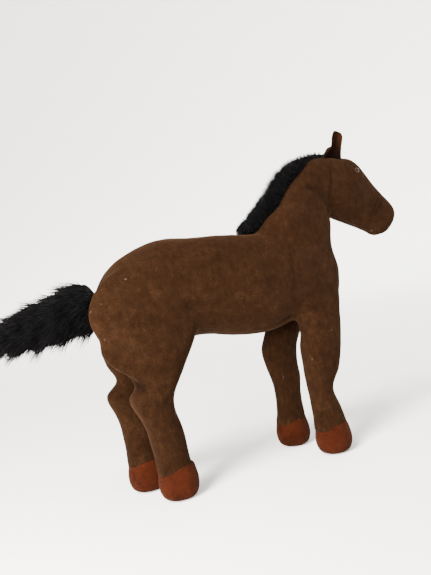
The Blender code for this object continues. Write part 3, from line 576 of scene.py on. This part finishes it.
def bodySurface():
    # moves the skin along its normals: lumps and dimples add waves, seams and folds take away a bell curve
    # and get painted shade
    look = creaseShape
    points, quads = smoothSkin()
    normals = normalsOf(points, quads)
    lift = (ripple(points, look["lumpSize"]) * look["lump"]
            + ripple(points, look["dimpleSize"]) * look["dimple"])
    crease = np.zeros(len(points))
    for line, width, depth, dark in look["lines"].values():
        fold = np.zeros(len(points))
        for a, b in zip(line[:-1], line[1:]):
            for side in (1, -1):
                fold = np.maximum(fold, near(points * (1, side, 1), a, b, width))
        lift -= fold * depth
        # painted shade along this seam or fold
        crease = np.maximum(crease, fold * dark)
    middle = hump(points[:, 1], 0, look["middleWidth"]) * (points[:, 2] > look["middleLow"])
    lift -= middle * look["middleDepth"]
    return points + normals * lift[:, None], quads, np.maximum(crease, middle * look["middleDark"])


splits = {
    "neckStart": -0.010, "neckEnd": 0.022,    # along the neck from its hinge
    "chestLow": 0.110,                        # the neck's skin is all above this height
    "headStart": -0.0025, "headEnd": 0.0105,  # ahead of the head hinge
    "throatZ": 0.1655, "throatFall": 0.9,     # the head's skin is all above this falling line
    "hind": 0.0880, "fore": 0.0870,           # height where a leg starts
    "bend": 0.024,                            # length over which a leg turns
}
neckWay = (head - neck) / np.linalg.norm(head - neck)
headStart = head[0] + splits["headStart"]


def regionOf(centre):
    # which limb a face belongs to: 0 trunk, 1 neck, 2 head, 3 to 6 the legs
    region = np.zeros(len(centre), int)
    ahead = (centre - neck) @ neckWay
    region[(ahead > splits["neckStart"]) & (centre[:, 2] > splits["chestLow"])] = 1
    throat = splits["throatZ"] - (centre[:, 0] - headStart) * splits["throatFall"]
    region[(centre[:, 0] > headStart) & (centre[:, 2] > throat)] = 2
    for number, (kind, side, _) in enumerate(legs):
        mine = (centre[:, 2] < splits[kind]) & (centre[:, 1] * side > 0)
        mine &= (centre[:, 0] < 0) if kind == "hind" else (centre[:, 0] > 0)
        region[mine] = 3 + number
    return region


def cutUp(points, quads, crease, names):
    # parts the skin along its region lines and closes each part with a fan just inside the cut
    region = regionOf(points[quads].mean(1))
    normals = normalsOf(points, quads)
    pairs = np.stack((quads, np.roll(quads, -1, axis=1)), -1).reshape(-1, 2)
    key = np.sort(pairs, axis=1) @ np.array((len(points), 1))
    order = np.argsort(key, kind="stable")
    firstSide, secondSide = order[0::2], order[1::2]  # each edge has two faces
    differ = region[firstSide // 4] != region[secondSide // 4]
    cuts = [(firstSide[differ], secondSide[differ]), (secondSide[differ], firstSide[differ])]
    mine = np.concatenate([a for a, _ in cuts])
    other = np.concatenate([b for _, b in cuts])
    pieces = {}
    for number, name in enumerate(names):
        own = quads[region == number]
        faces, extra = own.tolist(), []
        for neighbour in range(len(names)):
            rim = mine[(region[mine // 4] == number) & (region[other // 4] == neighbour)]
            if len(rim):
                edge = pairs[rim]
                extra.append(points[edge.ravel()].mean(0))
                hub = len(points) + len(extra) - 1
                faces += [[b, a, hub] for a, b in edge.tolist()]
        used = np.unique(own)
        lookup = np.zeros(len(points) + len(extra), int)
        lookup[used] = np.arange(len(used))
        lookup[len(points):] = len(used) + np.arange(len(extra))
        co = np.vstack([points[used]] + extra)
        mesh = bpy.data.meshes.new(name)
        mesh.from_pydata(co.tolist(), [], [lookup[f].tolist() for f in faces])
        mesh.shade_smooth()
        way = np.vstack([normals[used]] + [up] * len(extra))
        mesh.normals_split_custom_set_from_vertices(way.tolist())
        # painted shade along seams and folds, stored on each point for the velvet
        dark = np.concatenate((crease[used], np.zeros(len(extra)))).astype(np.float32)
        mesh.attributes.new("crease", "FLOAT", "POINT").data.foreach_set("value", dark)
        pieces[name] = placed(name, mesh)
    return pieces


points, quads, crease = bodySurface()
print("body skin:", len(points), "points")
skinNames = ["torso", "neck_velvet", "head_velvet"] + [name + "_velvet" for _, _, name in legs]
skins = cutUp(points, quads, crease, skinNames)
velvetFinish = velvet()
print("skins:", {name: len(piece.data.polygons) for name, piece in skins.items()})

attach(skins["torso"], "trunk")
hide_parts("trunk_side_right", "trunk_side_left", "belly_gusset", "trunk_stuffing")
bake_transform(skins["neck_velvet"])
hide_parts("neck_side_right", "neck_side_left", "neck_stuffing")
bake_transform(skins["head_velvet"])
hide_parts("head_side_right", "head_side_left", "head_gusset", "head_stuffing")
for kind, side, name in legs:
    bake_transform(skins[name + "_velvet"])
    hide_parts(name + "_skin_outer", name + "_skin_inner", name + "_stuffing")
for piece in skins.values():
    piece.data.materials.append(velvetFinish)


# hooves: felt balls drawn in round the leg

hoofShape = {
    # height, then how far back and front reach as shares of the hoof's half length, and the half width
    "outline": ((0.0000, 0.42, 0.42, 0.0050), (0.0006, 0.70, 0.72, 0.0078), (0.0024, 0.93, 0.94, 0.0097),
             (0.0058, 1.06, 1.06, 0.0109), (0.0098, 1.10, 1.10, 0.0113), (0.0138, 1.07, 1.06, 0.0108),
             (0.0172, 1.00, 1.00, 0.0100), (0.0190, 0.95, 0.95, 0.0095), (0.0199, 0.86, 0.86, 0.0086),
             (0.0199, 0.66, 0.66, 0.0066)),
    "halfLength": {"hind": 0.0112, "fore": 0.0115},
    "ahead": {"hind": 0.0008, "fore": 0.0004},  # of the middle of the leg above it
    "ankle": 0.195,                             # where on the leg that middle is taken
}


def hoofGrid(kind, side):
    # level superellipses round the foot of the leg: a flat sole below, and the top turns in
    table = np.array(hoofShape["outline"])
    at = np.linspace(0, len(table) - 1, 70)
    z, rearShare, frontShare, half = through(np.arange(len(table)), table, at).T
    rear, front, y, _ = legLine(kind, side, np.full(len(at), hoofShape["ankle"]))
    middle = (rear + front) / 2 + hoofShape["ahead"][kind]
    reach = (rearShare + frontShare) / 2 * hoofShape["halfLength"][kind]
    return rings(np.stack((middle, y, z), -1), right, left, reach, half, power=2.15, columns=56)


feltFinish = felt()
for kind, side, name in legs:
    hoof = placed(name + "_hoof_felt", tubeMesh(name + "_hoof_felt", hoofGrid(kind, side)))
    hoof.data.materials.append(feltFinish)
    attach(hoof, name)
    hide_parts(name + "_hoof")
print("hooves done")


# fur: a dense core with thousands of tapered hairs standing on it

hairShape = {"levels": (0.0, 0.45, 0.80), "taper": 0.6}


def hairs(root, way, droop, length, halfWidth):
    # each hair is a three-sided spike: its line is root + way * t + droop * t^2, thinning to a point
    side = unit(np.cross(way, rng.normal(size=way.shape)))
    other = unit(np.cross(way, side))
    turn = np.arange(3) / 3 * 2 * math.pi
    t = np.array(hairShape["levels"])[None, :, None, None]
    reach, bend = ((v * length[:, None])[:, None, None] for v in (way, droop))
    line = root[:, None, None] + reach * t + bend * t * t
    ring = (side[:, None, None] * np.cos(turn)[None, None, :, None]
            + other[:, None, None] * np.sin(turn)[None, None, :, None])
    body = line + ring * (halfWidth * (1 - t) ** hairShape["taper"])
    tip = (root + (way + droop) * length[:, None])[:, None]
    return np.concatenate((body.reshape(len(root), 9, 3), tip), 1).reshape(-1, 3)


def hairFaces(count, first):
    # a base, two rings of quads and a point; the same ten faces for every hair
    quads = [(a, b, b + 3, a + 3) for a, b in ((0, 1), (1, 2), (2, 0), (3, 4), (4, 5), (5, 3))]
    tris = [(2, 1, 0), (6, 7, 9), (7, 8, 9), (8, 6, 9)]
    start = (np.arange(count) * 10 + first)[:, None, None]
    return ((start + np.array(quads)[None]).reshape(-1, 4).tolist()
            + (start + np.array(tris)[None]).reshape(-1, 3).tolist())


def furPiece(name, core, root, way, droop, length, halfWidth):
    # the core and its hairs as one piece
    dense = tubeMesh("core", core)
    faces = [list(face.vertices) for face in dense.polygons]
    bpy.data.meshes.remove(dense)
    base = tubePoints(core)
    hair = hairs(root, way, droop, length, halfWidth)
    mesh = bpy.data.meshes.new(name)
    mesh.from_pydata(np.vstack((base, hair)).tolist(), [], faces + hairFaces(len(root), len(base)))
    mesh.shade_smooth()
    mesh.materials.append(furFinish)
    piece = placed(name, mesh)
    return piece


maneShape = {
    # along the crest from the withers to the ears: x, z, height of the pile, half width
    "crest": ((0.0275, 0.1568, 0.0050, 0.0032), (0.0340, 0.1584, 0.0080, 0.0048),
              (0.0430, 0.1622, 0.0106, 0.0056), (0.0510, 0.1672, 0.0122, 0.0060),
              (0.0575, 0.1722, 0.0132, 0.0060), (0.0630, 0.1780, 0.0130, 0.0062),
              (0.0690, 0.1862, 0.0128, 0.0066), (0.0765, 0.1931, 0.0120, 0.0072),
              (0.0850, 0.1985, 0.0112, 0.0078), (0.0955, 0.2030, 0.0092, 0.0076),
              (0.1070, 0.2072, 0.0062, 0.0060)),
    "sunk": 0.0035,             # the core starts below the crest
    "coreHeight": 0.66, "coreWidth": 0.86,  # of the dense core, as shares of the pile
    "rootHeight": 0.94, "rootWidth": 0.82,  # hairs are rooted just inside it
    "hairs": 11800, "hairLength": (0.0036, 0.0062), "hairHalfWidth": 0.00021,
    "around": 150,              # degrees each way from the top of the crest that hairs stand
    # how hairs stand: out of the crest, with more of it over the top, then sideways, back and at random
    "rise": (0.66, 0.40), "sideways": 0.42, "lean": -0.14, "scatter": 0.20,
    "clumpSize": 0.006, "clumpLean": 0.42, "clumpLength": 0.26,
    "fullHeight": 0.0115,       # hairs are shorter where the pile is lower than this
    "droopBack": 0.12, "droopDown": 0.16,
}


def makeMane():
    # a core along the crest, and hairs that stand out of it all round its top and sides
    shape = maneShape
    table = np.array(shape["crest"])
    place = np.linspace(0, 1, len(table))

    def crestAt(at):
        # point of the crest, the ways along and out of it, and the pile's height and half width
        x, z, height, half = through(place, table, at).T
        after, before = np.minimum(at + 0.01, 1), np.maximum(at - 0.01, 0)
        ahead = through(place, table, after) - through(place, table, before)
        ahead = unit(np.stack((ahead[:, 0], ahead[:, 0] * 0, ahead[:, 1]), -1))
        outward = np.stack((-ahead[:, 2], ahead[:, 0] * 0, ahead[:, 0]), -1)
        return np.stack((x, x * 0, z), -1), ahead, outward, height, half

    line, ahead, outward, height, half = crestAt(np.linspace(0, 1, 80))
    low, high = -shape["sunk"], height * shape["coreHeight"]
    core = rings(line + outward * ((low + high) / 2)[:, None], left, outward, half * shape["coreWidth"],
                 (high - low) / 2, power=2.2, columns=28)
    count = shape["hairs"]
    at = rng.uniform(0, 1, count)
    line, ahead, outward, height, half = crestAt(at)
    turn = np.radians(rng.uniform(-shape["around"], shape["around"], count))
    overTop, toSide = np.cos(turn), left * np.sin(turn)[:, None]
    high = height * shape["coreHeight"]
    fromMiddle = toSide * half[:, None] * shape["rootWidth"]
    middle, rise = (high - shape["sunk"]) / 2, (high + shape["sunk"]) / 2
    root = line + fromMiddle + outward * (middle + rise * shape["rootHeight"] * overTop)[:, None]
    clump = ripple(line + fromMiddle * 2.0, shape["clumpSize"])[:, None]
    steady, lifted = shape["rise"]
    way = unit(outward * (steady + lifted * overTop)[:, None] + toSide * shape["sideways"]
               + ahead * (clump * shape["clumpLean"] + shape["lean"])
               + rng.normal(size=(count, 3)) * shape["scatter"])
    length = (rng.uniform(*shape["hairLength"], count) * np.clip(height / shape["fullHeight"], 0.35, 1.1)
              * (1 + shape["clumpLength"] * clump[:, 0]))
    droop = ahead * -shape["droopBack"] - toSide * shape["droopDown"]
    return furPiece("mane_fur", core, root, way, droop, length, shape["hairHalfWidth"])


furFinish = fur()
mane = makeMane()
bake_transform(mane)
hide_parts("mane", "mane_foot")
print("mane:", len(mane.data.polygons), "faces")

tailShape = {
    "slope": 15,            # degrees that the tail points down
    "drop": 0.0002,         # how far the tail's line runs below its hinge
    # distance from the hinge and radius of the dense fur
    "line": ((-0.0066, 0.0070), (-0.0052, 0.0106), (0.0000, 0.0120), (0.0070, 0.0116), (0.0200, 0.0104),
             (0.0330, 0.0086), (0.0430, 0.0066), (0.0520, 0.0048), (0.0620, 0.0034), (0.0700, 0.0022),
             (0.0750, 0.0009)),
    "rootShare": 0.93,      # hairs are rooted just inside the dense fur
    "hairs": 11800, "hairLength": (0.0060, 0.0125), "hairHalfWidth": 0.00025,
    "spread": 0.95,         # below 1, more of the hairs are near the tip
    # how hairs stand: along the tail, out of it, with less of that towards the tip, and at random
    "along": 0.85, "rise": 0.52, "riseLost": 0.22, "scatter": 0.13,
    "clumpSize": 0.011, "clumpRise": 0.16, "clumpLength": 0.22,
    "thinLength": 0.55, "fullRadius": 0.0085,   # hairs are shorter where the tail is thinner
    "droopAlong": 0.10, "droopDown": 0.14,
}


def makeTail():
    # a round core that slopes down and tapers, and hairs that stand out of it towards its tip
    shape = tailShape
    slope = math.radians(shape["slope"])
    along = np.array((-math.cos(slope), 0, -math.sin(slope)))
    above = np.array((-math.sin(slope), 0, math.cos(slope)))
    at, (radius,) = spaced(shape["line"], 60)
    start = tailRoot - up * shape["drop"]
    core = rings(start + at[:, None] * along, left, above, radius, radius, power=2.0, columns=36)
    count = shape["hairs"]
    table = np.array(shape["line"])
    first, last = table[0, 0], table[-1, 0]
    at = first + (last - first) * rng.uniform(0.02, 1.0, count) ** shape["spread"]
    radius = through(table[:, 0], table[:, 1:], at)[:, 0]
    turn = rng.uniform(0, 2 * math.pi, count)
    spoke = left * np.cos(turn)[:, None] + above * np.sin(turn)[:, None]
    root = start + at[:, None] * along + spoke * (radius * shape["rootShare"])[:, None]
    clump = ripple(root, shape["clumpSize"])[:, None]
    rise = shape["rise"] - shape["riseLost"] * at / last
    way = unit(along * shape["along"] + spoke * rise[:, None] + clump * spoke * shape["clumpRise"]
               + rng.normal(size=(count, 3)) * shape["scatter"])
    length = rng.uniform(*shape["hairLength"], count) * (1 + shape["clumpLength"] * clump[:, 0])
    thin = shape["thinLength"]
    length *= thin + (1 - thin) * np.minimum(1, radius / shape["fullRadius"])
    droop = np.tile(along * shape["droopAlong"] - up * shape["droopDown"], (count, 1))
    return furPiece("tail_brush", core, root, way, droop, length, shape["hairHalfWidth"])


tailFur = makeTail()
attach(tailFur, "tail")
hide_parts("tail_fur", "tail_core")
print("tail:", len(tailFur.data.polygons), "faces")


# ears: a velvet back and a felt lining, each a cupped leaf with a rounded rim

earShape = {
    "height": 0.0215,
    "halfWidth": 0.0049,
    "cup": 0.0030,          # depth of the fold
    "layer": 0.0010,
    "spread": 78,           # degrees of the fold each way
    "liningWidth": 0.86, "liningHeight": 0.975,  # shares of the velvet's
    # share of the height and share of the half width
    "outline": ((-0.15, 1.75), (0.05, 1.55), (0.20, 1.22), (0.45, 0.98), (0.66, 1.02), (0.80, 1.00),
                (0.89, 0.88), (0.95, 0.70), (0.985, 0.44), (1.00, 0.12)),
    "ears": {"ear_right": {"up": (0.25, -0.12, 1.0), "out": (0.05, -1.0, 0)},
             "ear_left": {"up": (0.74, 0.28, 0.62), "out": (0.15, 1.0, 0)}},
}


def earShell(root, upward, facing, depth, wide, tall):
    # a leaf: width by the outline, folded forwards by 1 - cos across, closed round its rim
    shape = earShape
    thick = shape["layer"]
    at, (half,) = spaced(shape["outline"], 34)
    half = half * shape["halfWidth"] * wide
    across = np.cross(upward, facing)
    turn = np.radians(np.linspace(-shape["spread"], shape["spread"], 15))
    bend = (1 - np.cos(turn))[None, :] * shape["cup"] * (half / shape["halfWidth"])[:, None]
    backward = across if across[0] < 0 else -across
    flare = np.maximum(half / wide - shape["halfWidth"], 0)  # a wide root spreads backwards only
    middle = root + at[:, None] * upward * (shape["height"] * tall) + backward * flare[:, None]
    sheet = middle[:, None] + across * (half[:, None] * np.sin(turn)[None, :])[..., None]
    edge = np.sqrt(np.clip(1 - (np.abs(turn) / turn[-1]) ** 4, 0.05, 1))[None, :, None]
    front = sheet + facing * (bend - depth)[..., None] + facing * (edge - 1) * thick * 0.5
    rear = sheet + facing * (bend - depth - thick)[..., None] - facing * (edge - 1) * thick * 0.5
    return np.concatenate((front, rear[:, ::-1]), 1)  # once round the leaf's cross-section


earLook = {
    # root and middle are the felt's rust darkened by painted shade; tip is its full rust, where painted light
    # falls
    "root": (0.0016, 0.0007, 0.0004), "middle": (0.0072, 0.0026, 0.0012), "tip": (0.0190, 0.0062, 0.0022),
    # heights over which the painted shade in the fold fades, and over which the painted light at the edge
    # shows, and where that edge is
    "foldLight": (0.209, 0.227), "rubLight": (0.210, 0.221), "rubAhead": (0.1175, 0.1235),
    "cloud": (420, 3, 0.6), "cloudShift": 0.006, "rubShare": 0.8,
    "nap": (1500, 2, 0.6), "napHeight": 0.0005, "napStrength": 0.5,
}


def lining():
    # brushed rust felt: painted shade darkens it, most down in the fold, and painted light brings back its
    # full rust at the tip and front edge
    look = earLook
    g = Graph("ear_lining", Roughness=0.95, Specular_IOR_Level=0.02)
    spot = g.place()
    height = g.node("ShaderNodeSeparateXYZ", {}, {"Vector": spot}, "Z")
    ahead = g.node("ShaderNodeSeparateXYZ", {}, {"Vector": spot}, "X")
    cloud = g.noise(spot, *look["cloud"])
    # painted shade: darker lower down, in the fold
    light = g.between(height + cloud * look["cloudShift"], *look["foldLight"])
    colour = g.mix(light, look["root"], look["middle"])
    # painted light: the full rust at the tip and front edge
    litEdge = g.between(ahead, *look["rubAhead"]) * g.between(height, *look["rubLight"])
    colour = g.mix(litEdge * look["rubShare"], colour, look["tip"])
    nap = g.noise(spot, *look["nap"])
    return g.shade(Base_Color=colour, Normal=g.bump(nap, look["napHeight"], look["napStrength"]))


liningFinish = lining()


def makeEars():
    # the layers of each ear: the lining lies on the velvet and stops short of its rim
    layers = (("velvet", "back", velvetFinish, earShape["layer"], 1.0, 1.0),
              ("felt", "lining", liningFinish, 0.0, earShape["liningWidth"], earShape["liningHeight"]))
    for name, pose in earShape["ears"].items():
        root = hinges[name + "_flex"]
        upward, outward = unit(np.array(pose["up"])), np.array(pose["out"])
        facing = unit(outward - upward * (outward @ upward))
        for cloth, node, finish, depth, wide, tall in layers:
            title = name + "_" + cloth
            ear = placed(title, tubeMesh(title, earShell(root, upward, facing, depth, wide, tall)))
            ear.data.materials.append(finish)
            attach(ear, name)
            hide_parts(name + "_" + node)


makeEars()


# eyes: glass beads with a dark pupil, sunk in the velvet

eyeShape = {
    "radius": 0.0023, "height": 0.0016,
    "sunk": 1.05,                   # of its height, below the CAD eye's outer face
    "skirt": 0.8 / 23,              # of its height, straight down below the dome
    "shift": (0.0020, 0, 0.0004),
}
eyeLook = {
    "pupil": (0.002, 0.0013, 0.001), "dark": (0.013, 0.0045, 0.0014), "amber": (0.028, 0.011, 0.0038),
    "rim": (0.005, 0.002, 0.0008), "streak": (2600, 2), "streakTone": (0.35, 0.65),
    "pupilEdge": (0.48, 0.56), "rimEdge": (0.80, 0.98),  # shares of the radius
}


def glassEye():
    # dark pupil, streaked amber round it, and a dark rim; reach is 0 in the middle and 1 at the rim
    look = eyeLook
    g = Graph("amber_glass", Roughness=0.25, Specular_IOR_Level=0.10)
    reach = g.node("ShaderNodeAttribute", {"attribute_name": "reach"}, {}, "Fac")
    streak = g.noise(g.place(), *look["streak"])
    amber = g.mix(g.between(streak, *look["streakTone"]), look["dark"], look["amber"])
    iris = g.mix(g.between(reach, *look["rimEdge"]), amber, look["rim"])
    return g.shade(Base_Color=g.mix(g.between(reach, *look["pupilEdge"]), look["pupil"], iris))


def makeEyes():
    # half an ellipse turned round the line from the washer through the eye, on a short straight skirt
    finish, columns = glassEye(), 40
    shift = np.array(eyeShape["shift"])
    t = np.linspace(0, 1, 24)[:-1]
    reach = np.concatenate(((1.0, 1.0), np.sqrt(1 - t * t)))
    rise = np.concatenate(((-eyeShape["skirt"], 0.0), t))
    for side, word in sides:
        low, high = (np.array(c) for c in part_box("eye_" + word))
        washerLow, washerHigh = (np.array(c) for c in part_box("eye_washer_" + word))
        outer = (low + high) / 2
        outer[1] = high[1] if side > 0 else low[1]
        way = unit(outer - (washerLow + washerHigh) / 2)
        seat = outer - way * (eyeShape["height"] * eyeShape["sunk"]) + shift
        sideways = unit(np.cross(way, up))
        radius = reach * eyeShape["radius"]
        line = seat + rise[:, None] * way * eyeShape["height"]
        grid = rings(line, sideways, np.cross(sideways, way), radius, radius, power=2.0, columns=columns)
        eye = placed("eye_" + word + "_glass", tubeMesh("eye_" + word + "_glass", grid))
        share = np.concatenate((np.repeat(reach, columns), (1.0, 0.0))).astype(np.float32)
        eye.data.attributes.new("reach", "FLOAT", "POINT").data.foreach_set("value", share)
        eye.data.materials.append(finish)
        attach(eye, "head")
        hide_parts("eye_" + word)


makeEyes()
print("ears and eyes done")


# the hidden metal parts keep their CAD shapes

steelLook = {
    "dull": (0.42, 0.41, 0.40), "bright": (0.56, 0.55, 0.53), "patch": (260, 3, 0.6), "mark": (2200, 2, 0.6),
    "tone": (0.35, 0.7), "roughness": 0.20, "patchShare": 0.25, "markShare": 0.15,
    "markHeight": 0.0001, "markStrength": 0.4,
}


def steel():
    # small dull patches and fine marks
    look = steelLook
    g = Graph("drawn_steel", Metallic=1.0)
    patch, mark = g.noise(g.place(), *look["patch"]), g.noise(g.place(), *look["mark"])
    colour = g.mix(g.between(patch, *look["tone"]), look["dull"], look["bright"])
    rough = patch * look["patchShare"] + mark * look["markShare"] + look["roughness"]
    marks = g.bump(mark, look["markHeight"], look["markStrength"])
    return g.shade(Base_Color=colour, Roughness=rough, Normal=marks)


metal = steel()
for name, node in frame["nodes"].items():
    if name.endswith("_wire") or name.startswith("eye_washer"):
        node.data.materials.clear()
        node.data.materials.append(metal)
print("wires and washers done")


# floor, light and camera

stageLook = {
    # camera: focal length in mm, degrees it is turned, raised and tilted, and what it looks at from how far
    "focal": 33.81, "azimuth": -25.0, "pitch": 1.66, "roll": -8.64,
    "distance": 0.365, "lookAt": (0.00317, 0.0, 0.1229),
    "floorSize": 4.0, "floorDark": (0.93, 0.93, 0.93), "floorLight": (0.95, 0.95, 0.95),
    # floor and backdrop: how far out and how high the sheet is, as shares of the floor's size
    "sheet": ((0, 0), (1.0, 0), (1.35, 0.06), (1.5, 0.35), (1.5, 1.2)),
    "world": 1.1, "worldColour": (1.0, 0.98, 0.96, 1),
    "key": 11.0, "keyFrom": (-1.0, -0.55, 1.15), "keySpread": 22, "keyColour": (1.0, 0.96, 0.90),
    "side": 14.0, "sideFrom": (-0.38, -0.28, 0.20), "sideTo": (0, 0, 0.11), "sideSize": 0.22,
    "sideColour": (1.0, 0.95, 0.88),
}


def standAt(thing, place, across, above, ahead):
    # a camera or lamp looks along its own -Z, with +X across and +Y above
    matrix = np.eye(4)
    matrix[:3, 0], matrix[:3, 1], matrix[:3, 2], matrix[:3, 3] = across, above, -ahead, place
    thing.matrix_world = matrix.T.tolist()


def makeCamera():
    azimuth, pitch, roll = (math.radians(stageLook[key]) for key in ("azimuth", "pitch", "roll"))
    level = np.array((-math.sin(azimuth), math.cos(azimuth), 0))
    sideways = np.array((math.cos(azimuth), math.sin(azimuth), 0))
    ahead = level * math.cos(pitch) + up * math.sin(pitch)
    above = np.cross(sideways, ahead)
    lens = bpy.data.cameras.new("camera")
    lens.lens, lens.sensor_width, lens.clip_start = stageLook["focal"], 36, 0.01
    camera = placed("camera", lens)
    standAt(camera, np.array(stageLook["lookAt"]) - ahead * stageLook["distance"],
            sideways * math.cos(roll) + above * math.sin(roll),
            above * math.cos(roll) - sideways * math.sin(roll), ahead)
    bpy.context.scene.camera = camera


def makeLamp(name, kind, fromPlace, toPlace, power, colour):
    # lamp that shines from one place towards another
    lamp = bpy.data.lights.new(name, kind)
    lamp.energy, lamp.color = power, colour
    ahead = unit(np.subtract(toPlace, fromPlace))
    across = unit(np.cross(ahead, up))
    standAt(placed(name, lamp), fromPlace, across, np.cross(across, ahead), ahead)
    return lamp


def makeFloor():
    # one pale sheet turned round the upright axis: a flat floor that curves up into a backdrop all round
    look, columns = stageLook, 64
    sheet = np.array(look["sheet"]) * look["floorSize"]
    line = through(np.linspace(0, 1, len(sheet)), sheet, np.linspace(0, 1, 40))
    turn = np.arange(columns) / columns * 2 * math.pi
    grid = np.stack((line[:, :1] * np.cos(turn), line[:, :1] * np.sin(turn), line[:, 1:] + turn * 0), -1)
    r, c = np.meshgrid(np.arange(len(line) - 1), np.arange(columns), indexing="ij")
    here, beside = r * columns + c, r * columns + (c + 1) % columns
    faces = np.stack((here, here + columns, beside + columns, beside), -1).reshape(-1, 4)
    mesh = bpy.data.meshes.new("floor")
    mesh.from_pydata(grid.reshape(-1, 3).tolist(), [], faces.tolist())
    mesh.shade_smooth()
    g = Graph("floor", Roughness=0.9, Specular_IOR_Level=0.1)
    tone = g.noise(g.place(), 30, 2)
    mesh.materials.append(g.shade(Base_Color=g.mix(tone, look["floorDark"], look["floorLight"])))
    placed("floor", mesh)


def makeLight():
    # a bright plain world, a wide sun from the left and a soft disc beside the rump
    look = stageLook
    world = bpy.data.worlds.new("world")
    bpy.context.scene.world = world
    world.use_nodes = True
    sky = world.node_tree.nodes["Background"].inputs
    sky["Color"].default_value, sky["Strength"].default_value = look["worldColour"], look["world"]
    key = makeLamp("key", "SUN", look["keyFrom"], (0, 0, 0), look["key"], look["keyColour"])
    key.angle = math.radians(look["keySpread"])
    side = makeLamp("side", "AREA", look["sideFrom"], look["sideTo"], look["side"], look["sideColour"])
    side.shape, side.size = "DISK", look["sideSize"]


makeCamera()
makeFloor()
makeLight()
print("camera, floor and light done")
